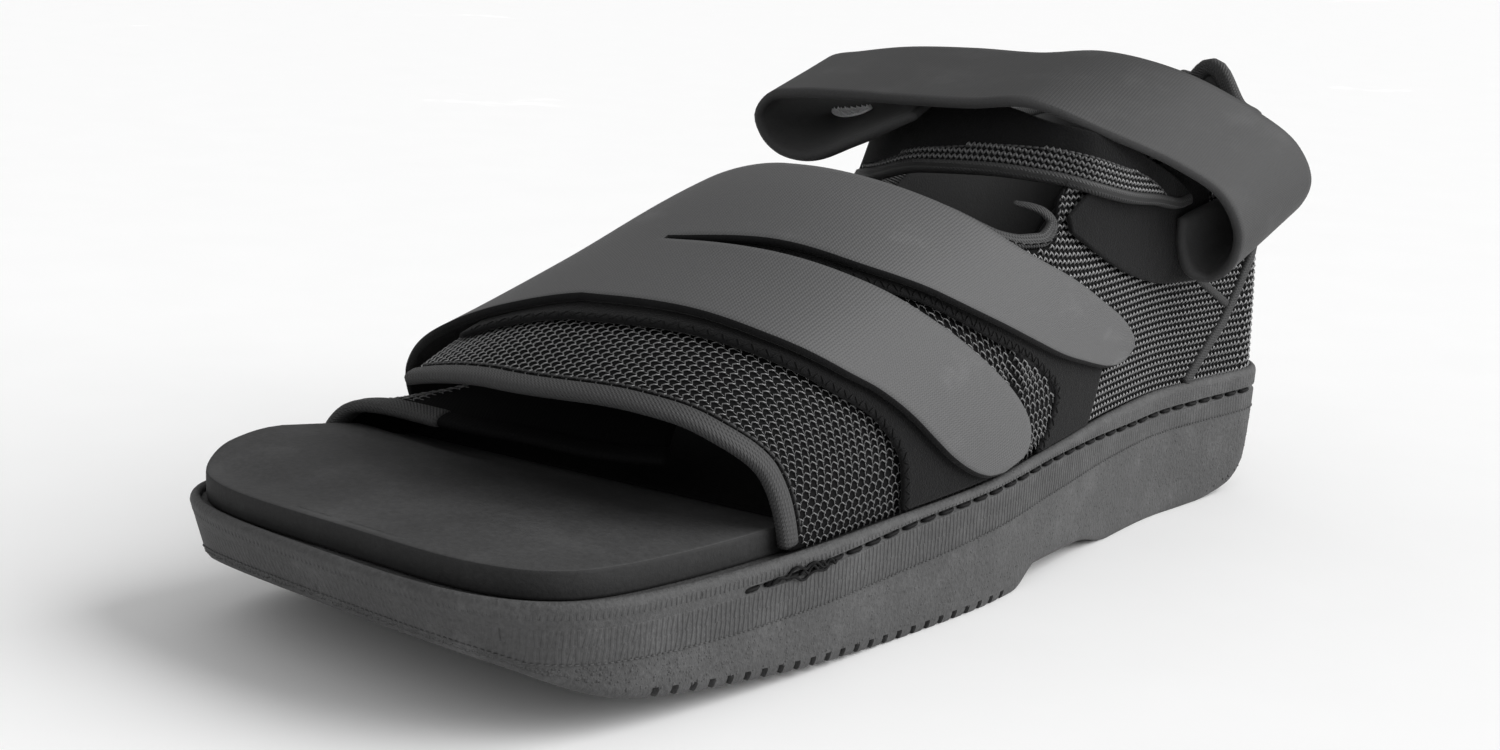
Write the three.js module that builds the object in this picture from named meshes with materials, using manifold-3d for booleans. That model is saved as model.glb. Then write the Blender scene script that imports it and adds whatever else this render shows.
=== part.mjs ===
// Postoperative shoe: a square-toed rocker sole, a foam footbed, two mesh forefoot flaps closed by a
// slit strap, a mesh rear foot with a flap round the ankle, and a loose ankle strap.
// Millimetres, +Z up, toe towards -Y, outer side of the foot towards +X, floor at z = 0.
// s is the distance from the toe end of the sole along +Y.

import * as THREE from 'three';
import { mergeVertices } from 'three/addons/utils/BufferGeometryUtils.js';
import Module from 'manifold-3d';

const wasm = await Module();
wasm.setup();

// Driving dimensions
const LENGTH = 285;
const TOE_ROUND = 42;
const TOE_POWER = 3.56;
const HEEL_ROUND = 21.6;
const HEEL_POWER = 2.44;
const RIM_WIDTH = 2.2;
const LEDGE_DROP = 1.5;
const ARCH_LIFT = 4;
const TREAD_EDGE = { rise: 1.5, share: 0.62 };
const GROOVE = { first: 34, last: 147, pitch: 4.8, width: 1.7, depth: 1.3 };
const INSOLE = { thickness: 5.3, slack: 1.2, heelSlack: 1.8, innerFrom: 20, innerTo: -45 };
const GAP = 0.3;
const SEAM_GAP = 0.8;
const CLOTH = 2;
const PANEL = 1;
const STRAP = 1.8;
const ANKLE_STRAP = 2.2;
const LAYER_EASE = 0.2;
const LAP_LIFT = CLOTH + GAP;
const BINDING = { width: 4.6, thickness: 3.4, innerThickness: 2.4 };
const ANKLE_BINDING = { width: 3.2, thickness: 3.2 };
const COLLAR = { width: 4, thickness: 3.6, start: 147 };
const PIPING = 3;
const PIPING_PROUD = 0.3;
const PIPING_ENDS = { low: 0.03, high: 0.97 };
const SEAM_PASSES = 6;
const HEEL_S = 262;
const HEEL_BACK = 20.9;
const HEEL_SQUARE = 2.3;
const STRAP_WIDTH = 41;

// Facets along and across each piece
const FACETS = {
  toe: 12,
  side: 28,
  heel: 9,
  nearFlap: { along: 18, across: 9 },
  farFlap: { along: 14, across: 7 },
  nearBinding: 26,
  farBinding: 16,
  strap: 3,
  sideWall: { along: 16, up: 7 },
  counter: { along: 14, up: 7 },
  piping: 14,
  collar: 64,
  ankleFlap: 4,
  ankleStrap: 4,
};
// How the outline's points crowd towards the ends of the sole
const CROWDING = { toe: 1.5, heel: 1.3 };

// Rim of the sole from the side wall up and over to the ledge: distance in from the edge and below the rim
const RIM_RINGS = [
  { inset: 0.7, below: 5.3 },
  { inset: 0.1, below: 4.4 },
  { inset: 0, below: 1.3 },
  { inset: 0.3 * RIM_WIDTH, below: 0.3 },
  { inset: 0.6 * RIM_WIDTH, below: 0 },
  { inset: 0.9 * RIM_WIDTH, below: 0.4 },
  { inset: RIM_WIDTH, below: LEDGE_DROP },
];
// Rounded edges of the footbed: distance in from its edge, and height over its foot or below its top
const INSOLE_FOOT = [
  { inset: 0.6, over: 0 },
  { inset: 0, over: 0.8 },
];
const INSOLE_TOP = [
  { inset: 0, below: 1.2 },
  { inset: 0.4, below: 0.3 },
  { inset: 1.3, below: 0 },
];
// Extra reach and lift of the footbed along the inner side of the foot
const INSOLE_INNER = [
  { s: 0, reach: 2.6, lift: 0 },
  { s: 5, reach: 2.6, lift: 0.2 },
  { s: 20, reach: 2.6, lift: 3.6 },
  { s: 33, reach: 2.4, lift: 5 },
  { s: 41, reach: -0.8, lift: 5 },
  { s: 50, reach: -1.2, lift: 4.2 },
  { s: 64, reach: -2, lift: 0 },
  { s: 76, reach: -2.4, lift: 0 },
  { s: 150, reach: 0, lift: 0 },
  { s: 285, reach: 0, lift: 0 },
];

// Sole by stations: outer half width, and height of the rim above the floor
const SOLE_WIDTHS = [
  { s: 0, half: 58.3 },
  { s: 34, half: 58.4 },
  { s: 71, half: 57.6 },
  { s: 103, half: 55.3 },
  { s: 134, half: 53.5 },
  { s: 165, half: 47.9 },
  { s: 200, half: 40.2 },
  { s: 234, half: 35.3 },
  { s: 262, half: 34.9 },
  { s: 285, half: 36.2 },
];
const SOLE_RIM = [
  { s: 0, z: 27.4 },
  { s: 57, z: 25.8 },
  { s: 114, z: 27 },
  { s: 171, z: 30.3 },
  { s: 228, z: 32.4 },
  { s: 285, z: 32.4 },
];
// Rocker: how far the tread lifts off the floor towards the toe and at the back of the heel
const ROCKER = [
  { s: 0, z: 15.5 },
  { s: 28.5, z: 6.6 },
  { s: 57, z: 3.3 },
  { s: 85, z: 1.1 },
  { s: 114, z: 0 },
  { s: 250, z: 0 },
  { s: 268, z: 2 },
  { s: 285, z: 10 },
];
// How far the side wall tapers in from the rim to the tread
const DRAFT = [
  { s: 0, inset: 5.2 },
  { s: 60, inset: 2.4 },
  { s: 235, inset: 2.4 },
  { s: 285, inset: 4.6 },
];
// Recess under the arch, as a share of ARCH_LIFT
const ARCH = [
  { s: 0, share: 0 },
  { s: 151, share: 0 },
  { s: 162, share: 1 },
  { s: 186, share: 0.8 },
  { s: 204, share: 0 },
  { s: 285, share: 0 },
];
// Foot form that the upper lies on: welt is its distance in from the sole's edge, crown its height over
// the welt, crownX the side shift of the crown, near and far the fullness of the two sides
const FORM = [
  { s: 0, welt: 4.6, crown: 12, crownX: 2, near: 0.75, far: 1.15 },
  { s: 40, welt: 4.6, crown: 25, crownX: 2, near: 0.75, far: 1.15 },
  { s: 60, welt: 4.6, crown: 33, crownX: 2, near: 0.78, far: 1.15 },
  { s: 90, welt: 4.6, crown: 43, crownX: 0, near: 0.8, far: 1.1 },
  { s: 120, welt: 4.5, crown: 53, crownX: -2, near: 0.82, far: 1.05 },
  { s: 140, welt: 4.5, crown: 57, crownX: -3, near: 0.85, far: 1 },
  { s: 160, welt: 4.4, crown: 63, crownX: -3, near: 0.88, far: 0.98 },
  { s: 180, welt: 4.2, crown: 80, crownX: -1.5, near: 0.92, far: 0.97 },
  { s: 200, welt: 4, crown: 110, crownX: 0, near: 0.95, far: 0.97 },
  { s: 220, welt: 3.6, crown: 140, crownX: 0, near: 0.97, far: 0.97 },
  { s: 240, welt: 3, crown: 155, crownX: 0, near: 1, far: 1 },
  { s: HEEL_S, welt: 2.6, crown: 165, crownX: 0, near: 1, far: 1 },
];
// Outer forefoot flap by angle over the foot: 0 the outer welt, 90 the crown, 180 the inner welt
const NEAR_FLAP = [
  { angle: 0.4, front: 69, rear: 150 },
  { angle: 20, front: 65.5, rear: 148 },
  { angle: 40, front: 56, rear: 142 },
  { angle: 60, front: 48.5, rear: 134 },
  { angle: 90, front: 41, rear: 127 },
  { angle: 116, front: 40, rear: 124 },
];
const NEAR_FLAP_END = { frontTurn: 0, rearTurn: 34 };
const FAR_FLAP = [
  { angle: 70, front: 63, rear: 128 },
  { angle: 90, front: 58, rear: 126 },
  { angle: 120, front: 53, rear: 133 },
  { angle: 150, front: 47, rear: 145 },
  { angle: 179.6, front: 44, rear: 150 },
];
// The inner flap sags with no foot under it: its share of the form's height, its fullness, and how far
// its middle droops below that
const FAR_SAG = [
  { s: 0, share: 0.58, full: 0.5, droop: 7 },
  { s: 46, share: 0.6, full: 0.5, droop: 7 },
  { s: 62, share: 0.54, full: 0.62, droop: 5 },
  { s: 76, share: 0.6, full: 0.92, droop: 2 },
  { s: 100, share: 0.76, full: 0.97, droop: 0 },
  { s: 125, share: 0.88, full: 1, droop: 0 },
  { s: 150, share: 0.92, full: 0.99, droop: 0 },
];
// Angles over which the droop sets in, the outer flap climbs over the inner one, and the strap comes down
const DROOP = { from: 152, to: 95 };
const LAP = { from: 15, to: 50 };
const STRAP_DROP = { from: 152, to: 168 };
// Angles where the flaps' bindings stop short of the welt
const BINDING_ENDS = { near: 2.4, far: 177 };
// Front edge of the side walls: the flap angle that their top reaches, their gap and their slant
const WALL_FRONT = { angle: 45, gap: 0.7, slant: 1.5 };
// Strap and panels by rows across them: front edge and rear edge as station and angle
const STRAP_BODY = [
  { frontS: 74, frontAngle: 176.5, rearS: 122, rearAngle: 176.5 },
  { frontS: 66, frontAngle: 155, rearS: 123, rearAngle: 155 },
  { frontS: 60.5, frontAngle: 130, rearS: 125, rearAngle: 130 },
  { frontS: 62.5, frontAngle: 111, rearS: 127, rearAngle: 108 },
  { frontS: 68, frontAngle: 90, rearS: 130.3, rearAngle: 90 },
];
const FRONT_FINGER = [
  { frontS: 68, frontAngle: 90, rearS: 92.5, rearAngle: 90 },
  { frontS: 74.5, frontAngle: 70, rearS: 98, rearAngle: 72 },
  { frontS: 80.5, frontAngle: 50, rearS: 105, rearAngle: 52 },
  { frontS: 89, frontAngle: 34, rearS: 114, rearAngle: 36 },
  { frontS: 100, frontAngle: 20.5, rearS: 127, rearAngle: 21 },
  { frontS: 114, frontAngle: 9, rearS: 138.5, rearAngle: 11 },
  { frontS: 124, frontAngle: 4.2, rearS: 143.5, rearAngle: 6 },
  { frontS: 132, frontAngle: 2.6, rearS: 142, rearAngle: 3 },
];
const REAR_FINGER = [
  { frontS: 94, frontAngle: 90, rearS: 130.3, rearAngle: 90 },
  { frontS: 101.3, frontAngle: 74.5, rearS: 134, rearAngle: 74.5 },
  { frontS: 110.5, frontAngle: 53.5, rearS: 141, rearAngle: 59 },
  { frontS: 126, frontAngle: 34, rearS: 153, rearAngle: 44 },
  { frontS: 152, frontAngle: 19.5, rearS: 171, rearAngle: 26.5 },
  { frontS: 174, frontAngle: 11.2, rearS: 187, rearAngle: 15.5 },
  { frontS: 191, frontAngle: 6.8, rearS: 198, rearAngle: 10 },
  { frontS: 197.5, frontAngle: 6.6, rearS: 200.5, rearAngle: 8 },
];
const FRONT_PANEL = [
  { frontS: 58, frontAngle: 117, rearS: 92.8, rearAngle: 124 },
  { frontS: 59.5, frontAngle: 108, rearS: 92.8, rearAngle: 109 },
  { frontS: 64.5, frontAngle: 90, rearS: 92.9, rearAngle: 90 },
  { frontS: 71, frontAngle: 68, rearS: 99.2, rearAngle: 73 },
  { frontS: 76.5, frontAngle: 49, rearS: 106.9, rearAngle: 53 },
  { frontS: 83, frontAngle: 33, rearS: 116.5, rearAngle: 36 },
  { frontS: 91, frontAngle: 20, rearS: 129.5, rearAngle: 21.5 },
  { frontS: 101, frontAngle: 9, rearS: 141.5, rearAngle: 11 },
  { frontS: 108, frontAngle: 2.8, rearS: 147, rearAngle: 3 },
];
const REAR_PANEL = [
  { frontS: 93.3, frontAngle: 126, rearS: 120, rearAngle: 126 },
  { frontS: 93.3, frontAngle: 109, rearS: 123, rearAngle: 109 },
  { frontS: 93.4, frontAngle: 90, rearS: 125.5, rearAngle: 90 },
  { frontS: 99.7, frontAngle: 73.5, rearS: 130, rearAngle: 74.5 },
  { frontS: 107.5, frontAngle: 53.5, rearS: 137, rearAngle: 59 },
  { frontS: 119, frontAngle: 36, rearS: 147, rearAngle: 44 },
  { frontS: 138, frontAngle: 20, rearS: 163, rearAngle: 27 },
  { frontS: 152, frontAngle: 9, rearS: 178, rearAngle: 12 },
  { frontS: 158, frontAngle: 2.8, rearS: 184, rearAngle: 3 },
];
// Rear foot wall, by girth: the station on the outer side, then round the heel and forward inside
const OUTER_COLLAR = [
  { girth: 141, z: 79 },
  { girth: 152, z: 76.5 },
  { girth: 162, z: 70 },
  { girth: 170, z: 67.5 },
  { girth: 177, z: 70 },
  { girth: 182, z: 75.5 },
  { girth: 188, z: 78.5 },
  { girth: 205, z: 87 },
  { girth: 225, z: 90.5 },
  { girth: HEEL_S, z: 92 },
  { girth: HEEL_S + (HEEL_BACK * Math.PI) / 4, z: 94 },
  { girth: HEEL_S + (HEEL_BACK * Math.PI) / 2, z: 100.5 },
];
const INNER_COLLAR = [
  { girth: 141, z: 67 },
  { girth: 170, z: 67 },
  { girth: 187, z: 68.5 },
  { girth: 200, z: 73.5 },
  { girth: 213, z: 81.5 },
  { girth: 228, z: 89 },
  { girth: HEEL_S, z: 92 },
  { girth: HEEL_S + (HEEL_BACK * Math.PI) / 4, z: 94 },
  { girth: HEEL_S + (HEEL_BACK * Math.PI) / 2, z: 100.5 },
];
// Seam between the side wall and the heel counter
const HEEL_SEAM = [
  { z: 20, girth: 220 },
  { z: 34, girth: 234 },
  { z: 41, girth: 241 },
  { z: 48, girth: 248.5 },
  { z: 56, girth: 259 },
  { z: 66, girth: 268 },
  { z: 85, girth: 276 },
  { z: 110, girth: 281 },
];
const QUARTER_PANEL = [
  { girth: 186, low: 73.5, top: 76.6 },
  { girth: 198, low: 67.5, top: 82.4 },
  { girth: 212, low: 62, top: 86 },
  { girth: 228, low: 58.5, top: 87 },
  { girth: 243, low: 58, top: 88 },
];
// Ankle flap from its seam on the inner side, round the front, to its free tip on the outer side
const ANKLE_FLAP = [
  { x: -36.8, s: 236, low: 70, top: 88, lean: 0.04 },
  { x: -38.8, s: 216, low: 76, top: 95, lean: 0.05 },
  { x: -38.8, s: 203, low: 78.2, top: 96, lean: 0.17 },
  { x: -33.5, s: 191, low: 79.5, top: 98, lean: 0.3 },
  { x: -18, s: 177, low: 83, top: 100, lean: 0.6 },
  { x: 0, s: 172.5, low: 88, top: 101, lean: 0.7 },
  { x: 18, s: 176, low: 89, top: 100, lean: 0.65 },
  { x: 31, s: 183, low: 87.8, top: 96.5, lean: 0.35 },
  { x: 36.6, s: 191, low: 84.8, top: 94.5, lean: 0.16 },
  { x: 38, s: 203, low: 81, top: 92, lean: 0.14 },
  { x: 37.4, s: 215, low: 78.3, top: 88.5, lean: 0.14 },
  { x: 36.4, s: 225, low: 76.4, top: 85, lean: 0.14 },
  { x: 36.1, s: 230, low: 77, top: 82.4, lean: 0.14 },
];
const ANKLE_AXIS = { x: 0, s: 209 };
// Ankle strap: front edge, then the direction across the strap as a turn about +Z and a tilt upwards
const ANKLE_STRAP_SEWN = [
  { frontGirth: 228, frontZ: 73.5, rearGirth: 266, rearZ: 81 },
  { frontGirth: 228, frontZ: 66.5, rearGirth: 267, rearZ: 74 },
];
const ANKLE_STRAP_FREE = [
  { x: 38.6, s: 228.5, z: 61.5, turn: 94, tilt: 11 },
  { x: 42, s: 231.5, z: 60, turn: 96, tilt: 12 },
  { x: 47, s: 232.5, z: 63.6, turn: 97, tilt: 13 },
  { x: 48.6, s: 233, z: 70.5, turn: 97, tilt: 14 },
  { x: 47.4, s: 227, z: 80, turn: 97, tilt: 13 },
  { x: 43, s: 214, z: 89.5, turn: 98, tilt: 12 },
  { x: 35, s: 195, z: 97.8, turn: 99, tilt: 12 },
  { x: 24, s: 180.5, z: 102.3, turn: 101, tilt: 11 },
  { x: 12, s: 174, z: 101.2, turn: 103, tilt: 12 },
  { x: -2, s: 169, z: 100.5, turn: 105, tilt: 13 },
  { x: -20, s: 167.5, z: 100.8, turn: 107, tilt: 12 },
  { x: -34, s: 167, z: 100, turn: 108, tilt: 10 },
  { x: -42, s: 166.5, z: 97.4, turn: 109, tilt: 10 },
];
// Free end of the ankle strap: how far each row hangs below the bend and curls in under it, and the
// shares of the width that its round corners take off
const ANKLE_STRAP_TIP = [
  { drop: 4, inward: -0.5, frontCut: 0, rearCut: 0 },
  { drop: 8, inward: 1.5, frontCut: 0.02, rearCut: 0.01 },
  { drop: 11.5, inward: 6, frontCut: 0.06, rearCut: 0.03 },
  { drop: 13, inward: 12, frontCut: 0.14, rearCut: 0.14 },
  { drop: 12.4, inward: 17, frontCut: 0.32, rearCut: 0.3 },
];

const RUBBER = { color: 0x4b4b4c, roughness: 0.85, metalness: 0 };
const FOAM = { color: 0x38383a, roughness: 0.95, metalness: 0 };
const MESH_CLOTH = { color: 0x1b1b1c, roughness: 0.8, metalness: 0 };
const TAPE = { color: 0x4a4a4c, roughness: 0.8, metalness: 0 };
const VELOUR = { color: 0x17171a, roughness: 1, metalness: 0 };
const SMOOTH_STRAP = { color: 0x5f5f61, roughness: 0.75, metalness: 0 };
const ANKLE_CLOTH = { color: 0x484849, roughness: 0.8, metalness: 0 };

const shoe = new THREE.Group();
shoe.name = 'postoperative_shoe';

// Monotone cubic through one column of a table, read along another column
function smoothColumn(rows, along, key) {
  const x = rows.map((row) => row[along]);
  const y = rows.map((row) => row[key]);
  const last = x.length - 1;
  const rise = (i) => (y[i + 1] - y[i]) / (x[i + 1] - x[i]);
  const slope = x.map((_, i) => {
    if (i === 0) return rise(0);
    if (i === last) return rise(last - 1);
    const before = rise(i - 1);
    const after = rise(i);
    return before * after <= 0 ? 0 : (2 * before * after) / (before + after);
  });
  return (at) => {
    const v = THREE.MathUtils.clamp(at, x[0], x[last]);
    let i = 0;
    while (i < last - 1 && v > x[i + 1]) i += 1;
    const h = x[i + 1] - x[i];
    const t = (v - x[i]) / h;
    const start = (1 + 2 * t) * (1 - t) ** 2 * y[i] + t * (1 - t) ** 2 * h * slope[i];
    const end = t * t * (3 - 2 * t) * y[i + 1] + t * t * (t - 1) * h * slope[i + 1];
    return start + end;
  };
}

// The same table with smooth rows added between its own
function refine(rows, parts) {
  const numbered = rows.map((row, index) => ({ ...row, index }));
  const keys = Object.keys(rows[0]);
  const curves = Object.fromEntries(keys.map((key) => [key, smoothColumn(numbered, 'index', key)]));
  const count = (rows.length - 1) * parts;
  return steps(count, 0, rows.length - 1).map((at) =>
    Object.fromEntries(keys.map((key) => [key, curves[key](at)])));
}

function steps(count, from, to) {
  return Array.from({ length: count + 1 }, (_, i) => from + ((to - from) * i) / count);
}

const soleWide = smoothColumn(SOLE_WIDTHS, 's', 'half');
const soleRim = smoothColumn(SOLE_RIM, 's', 'z');
const rocker = smoothColumn(ROCKER, 's', 'z');
const arch = smoothColumn(ARCH, 's', 'share');
const draft = smoothColumn(DRAFT, 's', 'inset');
const sagShare = smoothColumn(FAR_SAG, 's', 'share');
const sagFullness = smoothColumn(FAR_SAG, 's', 'full');
const sagDroop = smoothColumn(FAR_SAG, 's', 'droop');
const formColumn = Object.fromEntries(
  ['welt', 'crown', 'crownX', 'near', 'far'].map((key) => [key, smoothColumn(FORM, 's', key)]));
const soleLedge = (s) => soleRim(s) - LEDGE_DROP;
const soleBottom = (s) => rocker(s) + ARCH_LIFT * arch(s);
const formBase = (s) => soleLedge(s) + GAP;
const toY = (s) => s - LENGTH / 2;

// A closed mesh from triangles of points, turned so that its faces point out
function closedGeometry(triangles) {
  let volume = 0;
  for (const [a, b, c] of triangles) volume += a.dot(new THREE.Vector3().crossVectors(b, c));
  const positions = [];
  for (const [a, b, c] of triangles) {
    for (const p of volume < 0 ? [a, c, b] : [a, b, c]) positions.push(p.x, p.y, p.z);
  }
  const geometry = new THREE.BufferGeometry();
  geometry.setAttribute('position', new THREE.Float32BufferAttribute(positions, 3));
  return mergeVertices(geometry, 1e-3);
}

function addPiece(name, geometry, finish) {
  geometry.computeVertexNormals();
  const mesh = new THREE.Mesh(geometry, new THREE.MeshStandardMaterial(finish));
  mesh.name = name;
  shoe.add(mesh);
}

function quad(triangles, a, b, c, d) {
  triangles.push([a, b, c], [a, c, d]);
}

// A wall of cloth between two grids of points, with the cells that present leaves out cut away
function shell(outer, inner, present = () => true) {
  const rows = outer.length - 1;
  const columns = outer[0].length - 1;
  const has = (r, c) => r >= 0 && c >= 0 && r < rows && c < columns && present(r, c);
  const triangles = [];
  for (let r = 0; r < rows; r += 1) {
    for (let c = 0; c < columns; c += 1) {
      if (!has(r, c)) continue;
      const corners = [[r, c], [r + 1, c], [r + 1, c + 1], [r, c + 1]];
      const beside = [[r, c - 1], [r + 1, c], [r, c + 1], [r - 1, c]];
      quad(triangles, ...corners.map(([i, j]) => outer[i][j]));
      quad(triangles, ...corners.map(([i, j]) => inner[i][j]).reverse());
      beside.forEach(([i, j], side) => {
        if (has(i, j)) return;
        const [ar, ac] = corners[side];
        const [br, bc] = corners[(side + 1) % 4];
        quad(triangles, outer[br][bc], outer[ar][ac], inner[ar][ac], inner[br][bc]);
      });
    }
  }
  return closedGeometry(triangles);
}

// A bar of constant section along frames, each with a point and the section's two directions
function bar(frames, section) {
  const rings = frames.map(({ point, across, up }) =>
    section.map(([a, b]) => point.clone().addScaledVector(across, a).addScaledVector(up, b)));
  const triangles = [];
  const count = section.length;
  for (let k = 0; k + 1 < rings.length; k += 1) {
    for (let i = 0; i < count; i += 1) {
      const j = (i + 1) % count;
      quad(triangles, rings[k][i], rings[k][j], rings[k + 1][j], rings[k + 1][i]);
    }
  }
  const end = rings.at(-1);
  for (let i = 1; i + 1 < count; i += 1) {
    triangles.push([rings[0][0], rings[0][i + 1], rings[0][i]], [end[0], end[i], end[i + 1]]);
  }
  return closedGeometry(triangles);
}

// Eight-sided section of a folded tape or a round cord
function tapeSection(width, thickness, offset = 0) {
  const corner = 0.3;
  const w = width / 2;
  const h = thickness / 2;
  return [[-w, -h * corner], [-w * (1 - corner), -h], [w * (1 - corner), -h], [w, -h * corner],
    [w, h * corner], [w * (1 - corner), h], [-w * (1 - corner), h], [-w, h * corner]]
    .map(([a, b]) => [a + offset, b]);
}

// Frames along a row of surface points and normals; across lies in the surface, square to the path
function pathFrames(points, normals, side) {
  return points.map((point, i) => {
    const ahead = points[Math.min(i + 1, points.length - 1)];
    const behind = points[Math.max(i - 1, 0)];
    const along = ahead.clone().sub(behind).normalize();
    const up = normals[i].clone().addScaledVector(along, -normals[i].dot(along)).normalize();
    return { point, up, across: new THREE.Vector3().crossVectors(along, up).multiplyScalar(side) };
  });
}

// Foot form
function formPoint(s, angle, sagging = false) {
  const side = angle > 90 ? -1 : 1;
  const turn = THREE.MathUtils.degToRad(side > 0 ? angle : 180 - angle);
  let fullness = side > 0 ? formColumn.near(s) : formColumn.far(s);
  if (sagging) fullness = sagFullness(s);
  const crown = formColumn.crown(s) * (sagging ? sagShare(s) : 1);
  const half = soleWide(s) - formColumn.welt(s);
  const crownX = formColumn.crownX(s);
  const x = crownX + side * (half - side * crownX) * Math.max(Math.cos(turn), 0) ** fullness;
  const z = formBase(s) + crown * Math.max(Math.sin(turn), 0) ** fullness;
  const middle = 1 - THREE.MathUtils.smoothstep(angle, DROOP.to, DROOP.from);
  return new THREE.Vector3(x, toY(s), sagging ? z - sagDroop(s) * middle : z);
}

function formNormal(s, angle, sagging) {
  const e = 0.5;
  const alongS = formPoint(s + e, angle, sagging).sub(formPoint(s - e, angle, sagging));
  const low = Math.max(angle - e, 0.05);
  const high = Math.min(angle + e, 179.95);
  const alongAngle = formPoint(s, high, sagging).sub(formPoint(s, low, sagging));
  return alongS.cross(alongAngle).normalize();
}

function onForm(s, angle, offset, sagging) {
  return formPoint(s, angle, sagging).addScaledVector(formNormal(s, angle, sagging), offset);
}

// Rear foot wall: girth runs back along the outer side, round the heel and forward along the inner side
const HEEL_TURN = HEEL_BACK * Math.PI;
const WALL_MIRROR = 2 * HEEL_S + HEEL_TURN;

function wallPoint(girth, z) {
  const round = THREE.MathUtils.clamp((girth - HEEL_S) / HEEL_BACK, 0, Math.PI);
  const s = Math.min(girth, WALL_MIRROR - girth, HEEL_S);
  const side = girth > HEEL_S + HEEL_TURN / 2 ? 'far' : 'near';
  const rise = THREE.MathUtils.clamp((z - formBase(s)) / formColumn.crown(s), 0, 1);
  const turn = Math.asin(rise ** (1 / formColumn[side](s)));
  const lean = Math.cos(turn) ** formColumn[side](s);
  const half = soleWide(s) - formColumn.welt(s);
  const crownX = formColumn.crownX(s);
  const sign = side === 'far' ? -1 : 1;
  if (round <= 0 || round >= Math.PI) {
    return new THREE.Vector3(crownX + sign * (half - sign * crownX) * lean, toY(s), z);
  }
  const across = Math.abs(Math.cos(round) / half) ** HEEL_SQUARE;
  const back = (Math.sin(round) / HEEL_BACK) ** HEEL_SQUARE;
  const reach = lean / (across + back) ** (1 / HEEL_SQUARE);
  return new THREE.Vector3(reach * Math.cos(round), toY(HEEL_S) + reach * Math.sin(round), z);
}

function wallNormal(girth, z) {
  const e = 0.8;
  const low = Math.max(z - e, formBase(Math.min(girth, WALL_MIRROR - girth, HEEL_S)));
  const alongGirth = wallPoint(girth + e, z).sub(wallPoint(girth - e, z));
  return alongGirth.cross(wallPoint(girth, z + e).sub(wallPoint(girth, low))).normalize();
}

const onWall = (girth, z, offset) => wallPoint(girth, z).addScaledVector(wallNormal(girth, z), offset);

// Sole outline and the solids that stand on it
function outlineStations() {
  const toe = steps(FACETS.toe, 0, 1).map((t) => {
    const turn = (Math.PI / 2) * t ** CROWDING.toe;
    return TOE_ROUND * (1 - Math.cos(turn) ** (2 / TOE_POWER));
  });
  const heel = steps(FACETS.heel, 1, 0).map((t) => {
    const turn = (Math.PI / 2) * t ** CROWDING.heel;
    return LENGTH - HEEL_ROUND * (1 - Math.cos(turn) ** (2 / HEEL_POWER));
  });
  return [...toe, ...steps(FACETS.side, TOE_ROUND, LENGTH - HEEL_ROUND).slice(1, -1), ...heel];
}

function endRounding(distance, radius, power) {
  const t = THREE.MathUtils.clamp(1 - distance / radius, 0, 1);
  return Math.max(1 - t ** power, 0) ** (1 / power);
}

function soleHalf(s) {
  return soleWide(s) * endRounding(s, TOE_ROUND, TOE_POWER)
    * endRounding(LENGTH - s, HEEL_ROUND, HEEL_POWER);
}

function outlineLoop() {
  const near = outlineStations().map((s) => ({ s, x: soleHalf(s) }));
  const far = near.slice(1, -1).reverse().map(({ s, x }) => ({ s, x: -x }));
  return [...near, ...far];
}

// Stacked rings round the outline, each moved inwards and set to its own height, closed top and bottom
function ringSolid(loop, rings) {
  const count = loop.length;
  const inward = loop.map((p, i) => {
    const next = loop[(i + 1) % count];
    const before = loop[(i + count - 1) % count];
    return new THREE.Vector2(before.s - next.s, next.x - before.x).normalize();
  });
  const placed = rings.map(({ inset, height }) => loop.map(({ s, x }, i) => {
    const by = inset(s, x);
    return new THREE.Vector3(x + inward[i].x * by, toY(s) + inward[i].y * by, height(s, x));
  }));
  const triangles = [];
  for (let k = 0; k + 1 < placed.length; k += 1) {
    for (let i = 0; i < count; i += 1) {
      const j = (i + 1) % count;
      quad(triangles, placed[k][i], placed[k][j], placed[k + 1][j], placed[k + 1][i]);
    }
  }
  const last = count / 2;
  for (const [ring, turn] of [[placed[0], -1], [placed.at(-1), 1]]) {
    for (let k = 0; k < last; k += 1) {
      const a = ring[k];
      const b = ring[k + 1];
      const c = ring[(count - k - 1) % count];
      const d = ring[(count - k) % count];
      if (k + 1 < last) triangles.push(turn > 0 ? [a, b, c] : [a, c, b]);
      if (k > 0) triangles.push(turn > 0 ? [a, c, d] : [a, d, c]);
    }
  }
  return closedGeometry(triangles);
}

function toSolid(geometry) {
  return new wasm.Manifold(new wasm.Mesh({
    numProp: 3,
    vertProperties: new Float32Array(geometry.attributes.position.array),
    triVerts: new Uint32Array(geometry.index.array),
  }));
}

function fromSolid(solid) {
  const mesh = solid.getMesh();
  const geometry = new THREE.BufferGeometry();
  geometry.setAttribute('position', new THREE.Float32BufferAttribute(mesh.vertProperties, 3));
  geometry.setIndex(Array.from(mesh.triVerts));
  return geometry;
}

function grooveCutter(s) {
  const top = soleBottom(s) + GROOVE.depth;
  const box = new THREE.BoxGeometry(LENGTH, GROOVE.width, 2 * LENGTH);
  box.translate(0, toY(s), top - LENGTH);
  box.deleteAttribute('normal');
  box.deleteAttribute('uv');
  return toSolid(mergeVertices(box));
}

function makeOutsole(loop) {
  const body = ringSolid(loop, [
    { inset: draft, height: soleBottom },
    { inset: (s) => TREAD_EDGE.share * draft(s), height: (s) => soleBottom(s) + TREAD_EDGE.rise },
    ...RIM_RINGS.map(({ inset, below }) => ({ inset: () => inset, height: (s) => soleRim(s) - below })),
  ]);
  let solid = toSolid(body);
  for (let s = GROOVE.first; s <= GROOVE.last; s += GROOVE.pitch) solid = solid.subtract(grooveCutter(s));
  addPiece('outsole', fromSolid(solid), RUBBER);
}

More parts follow.
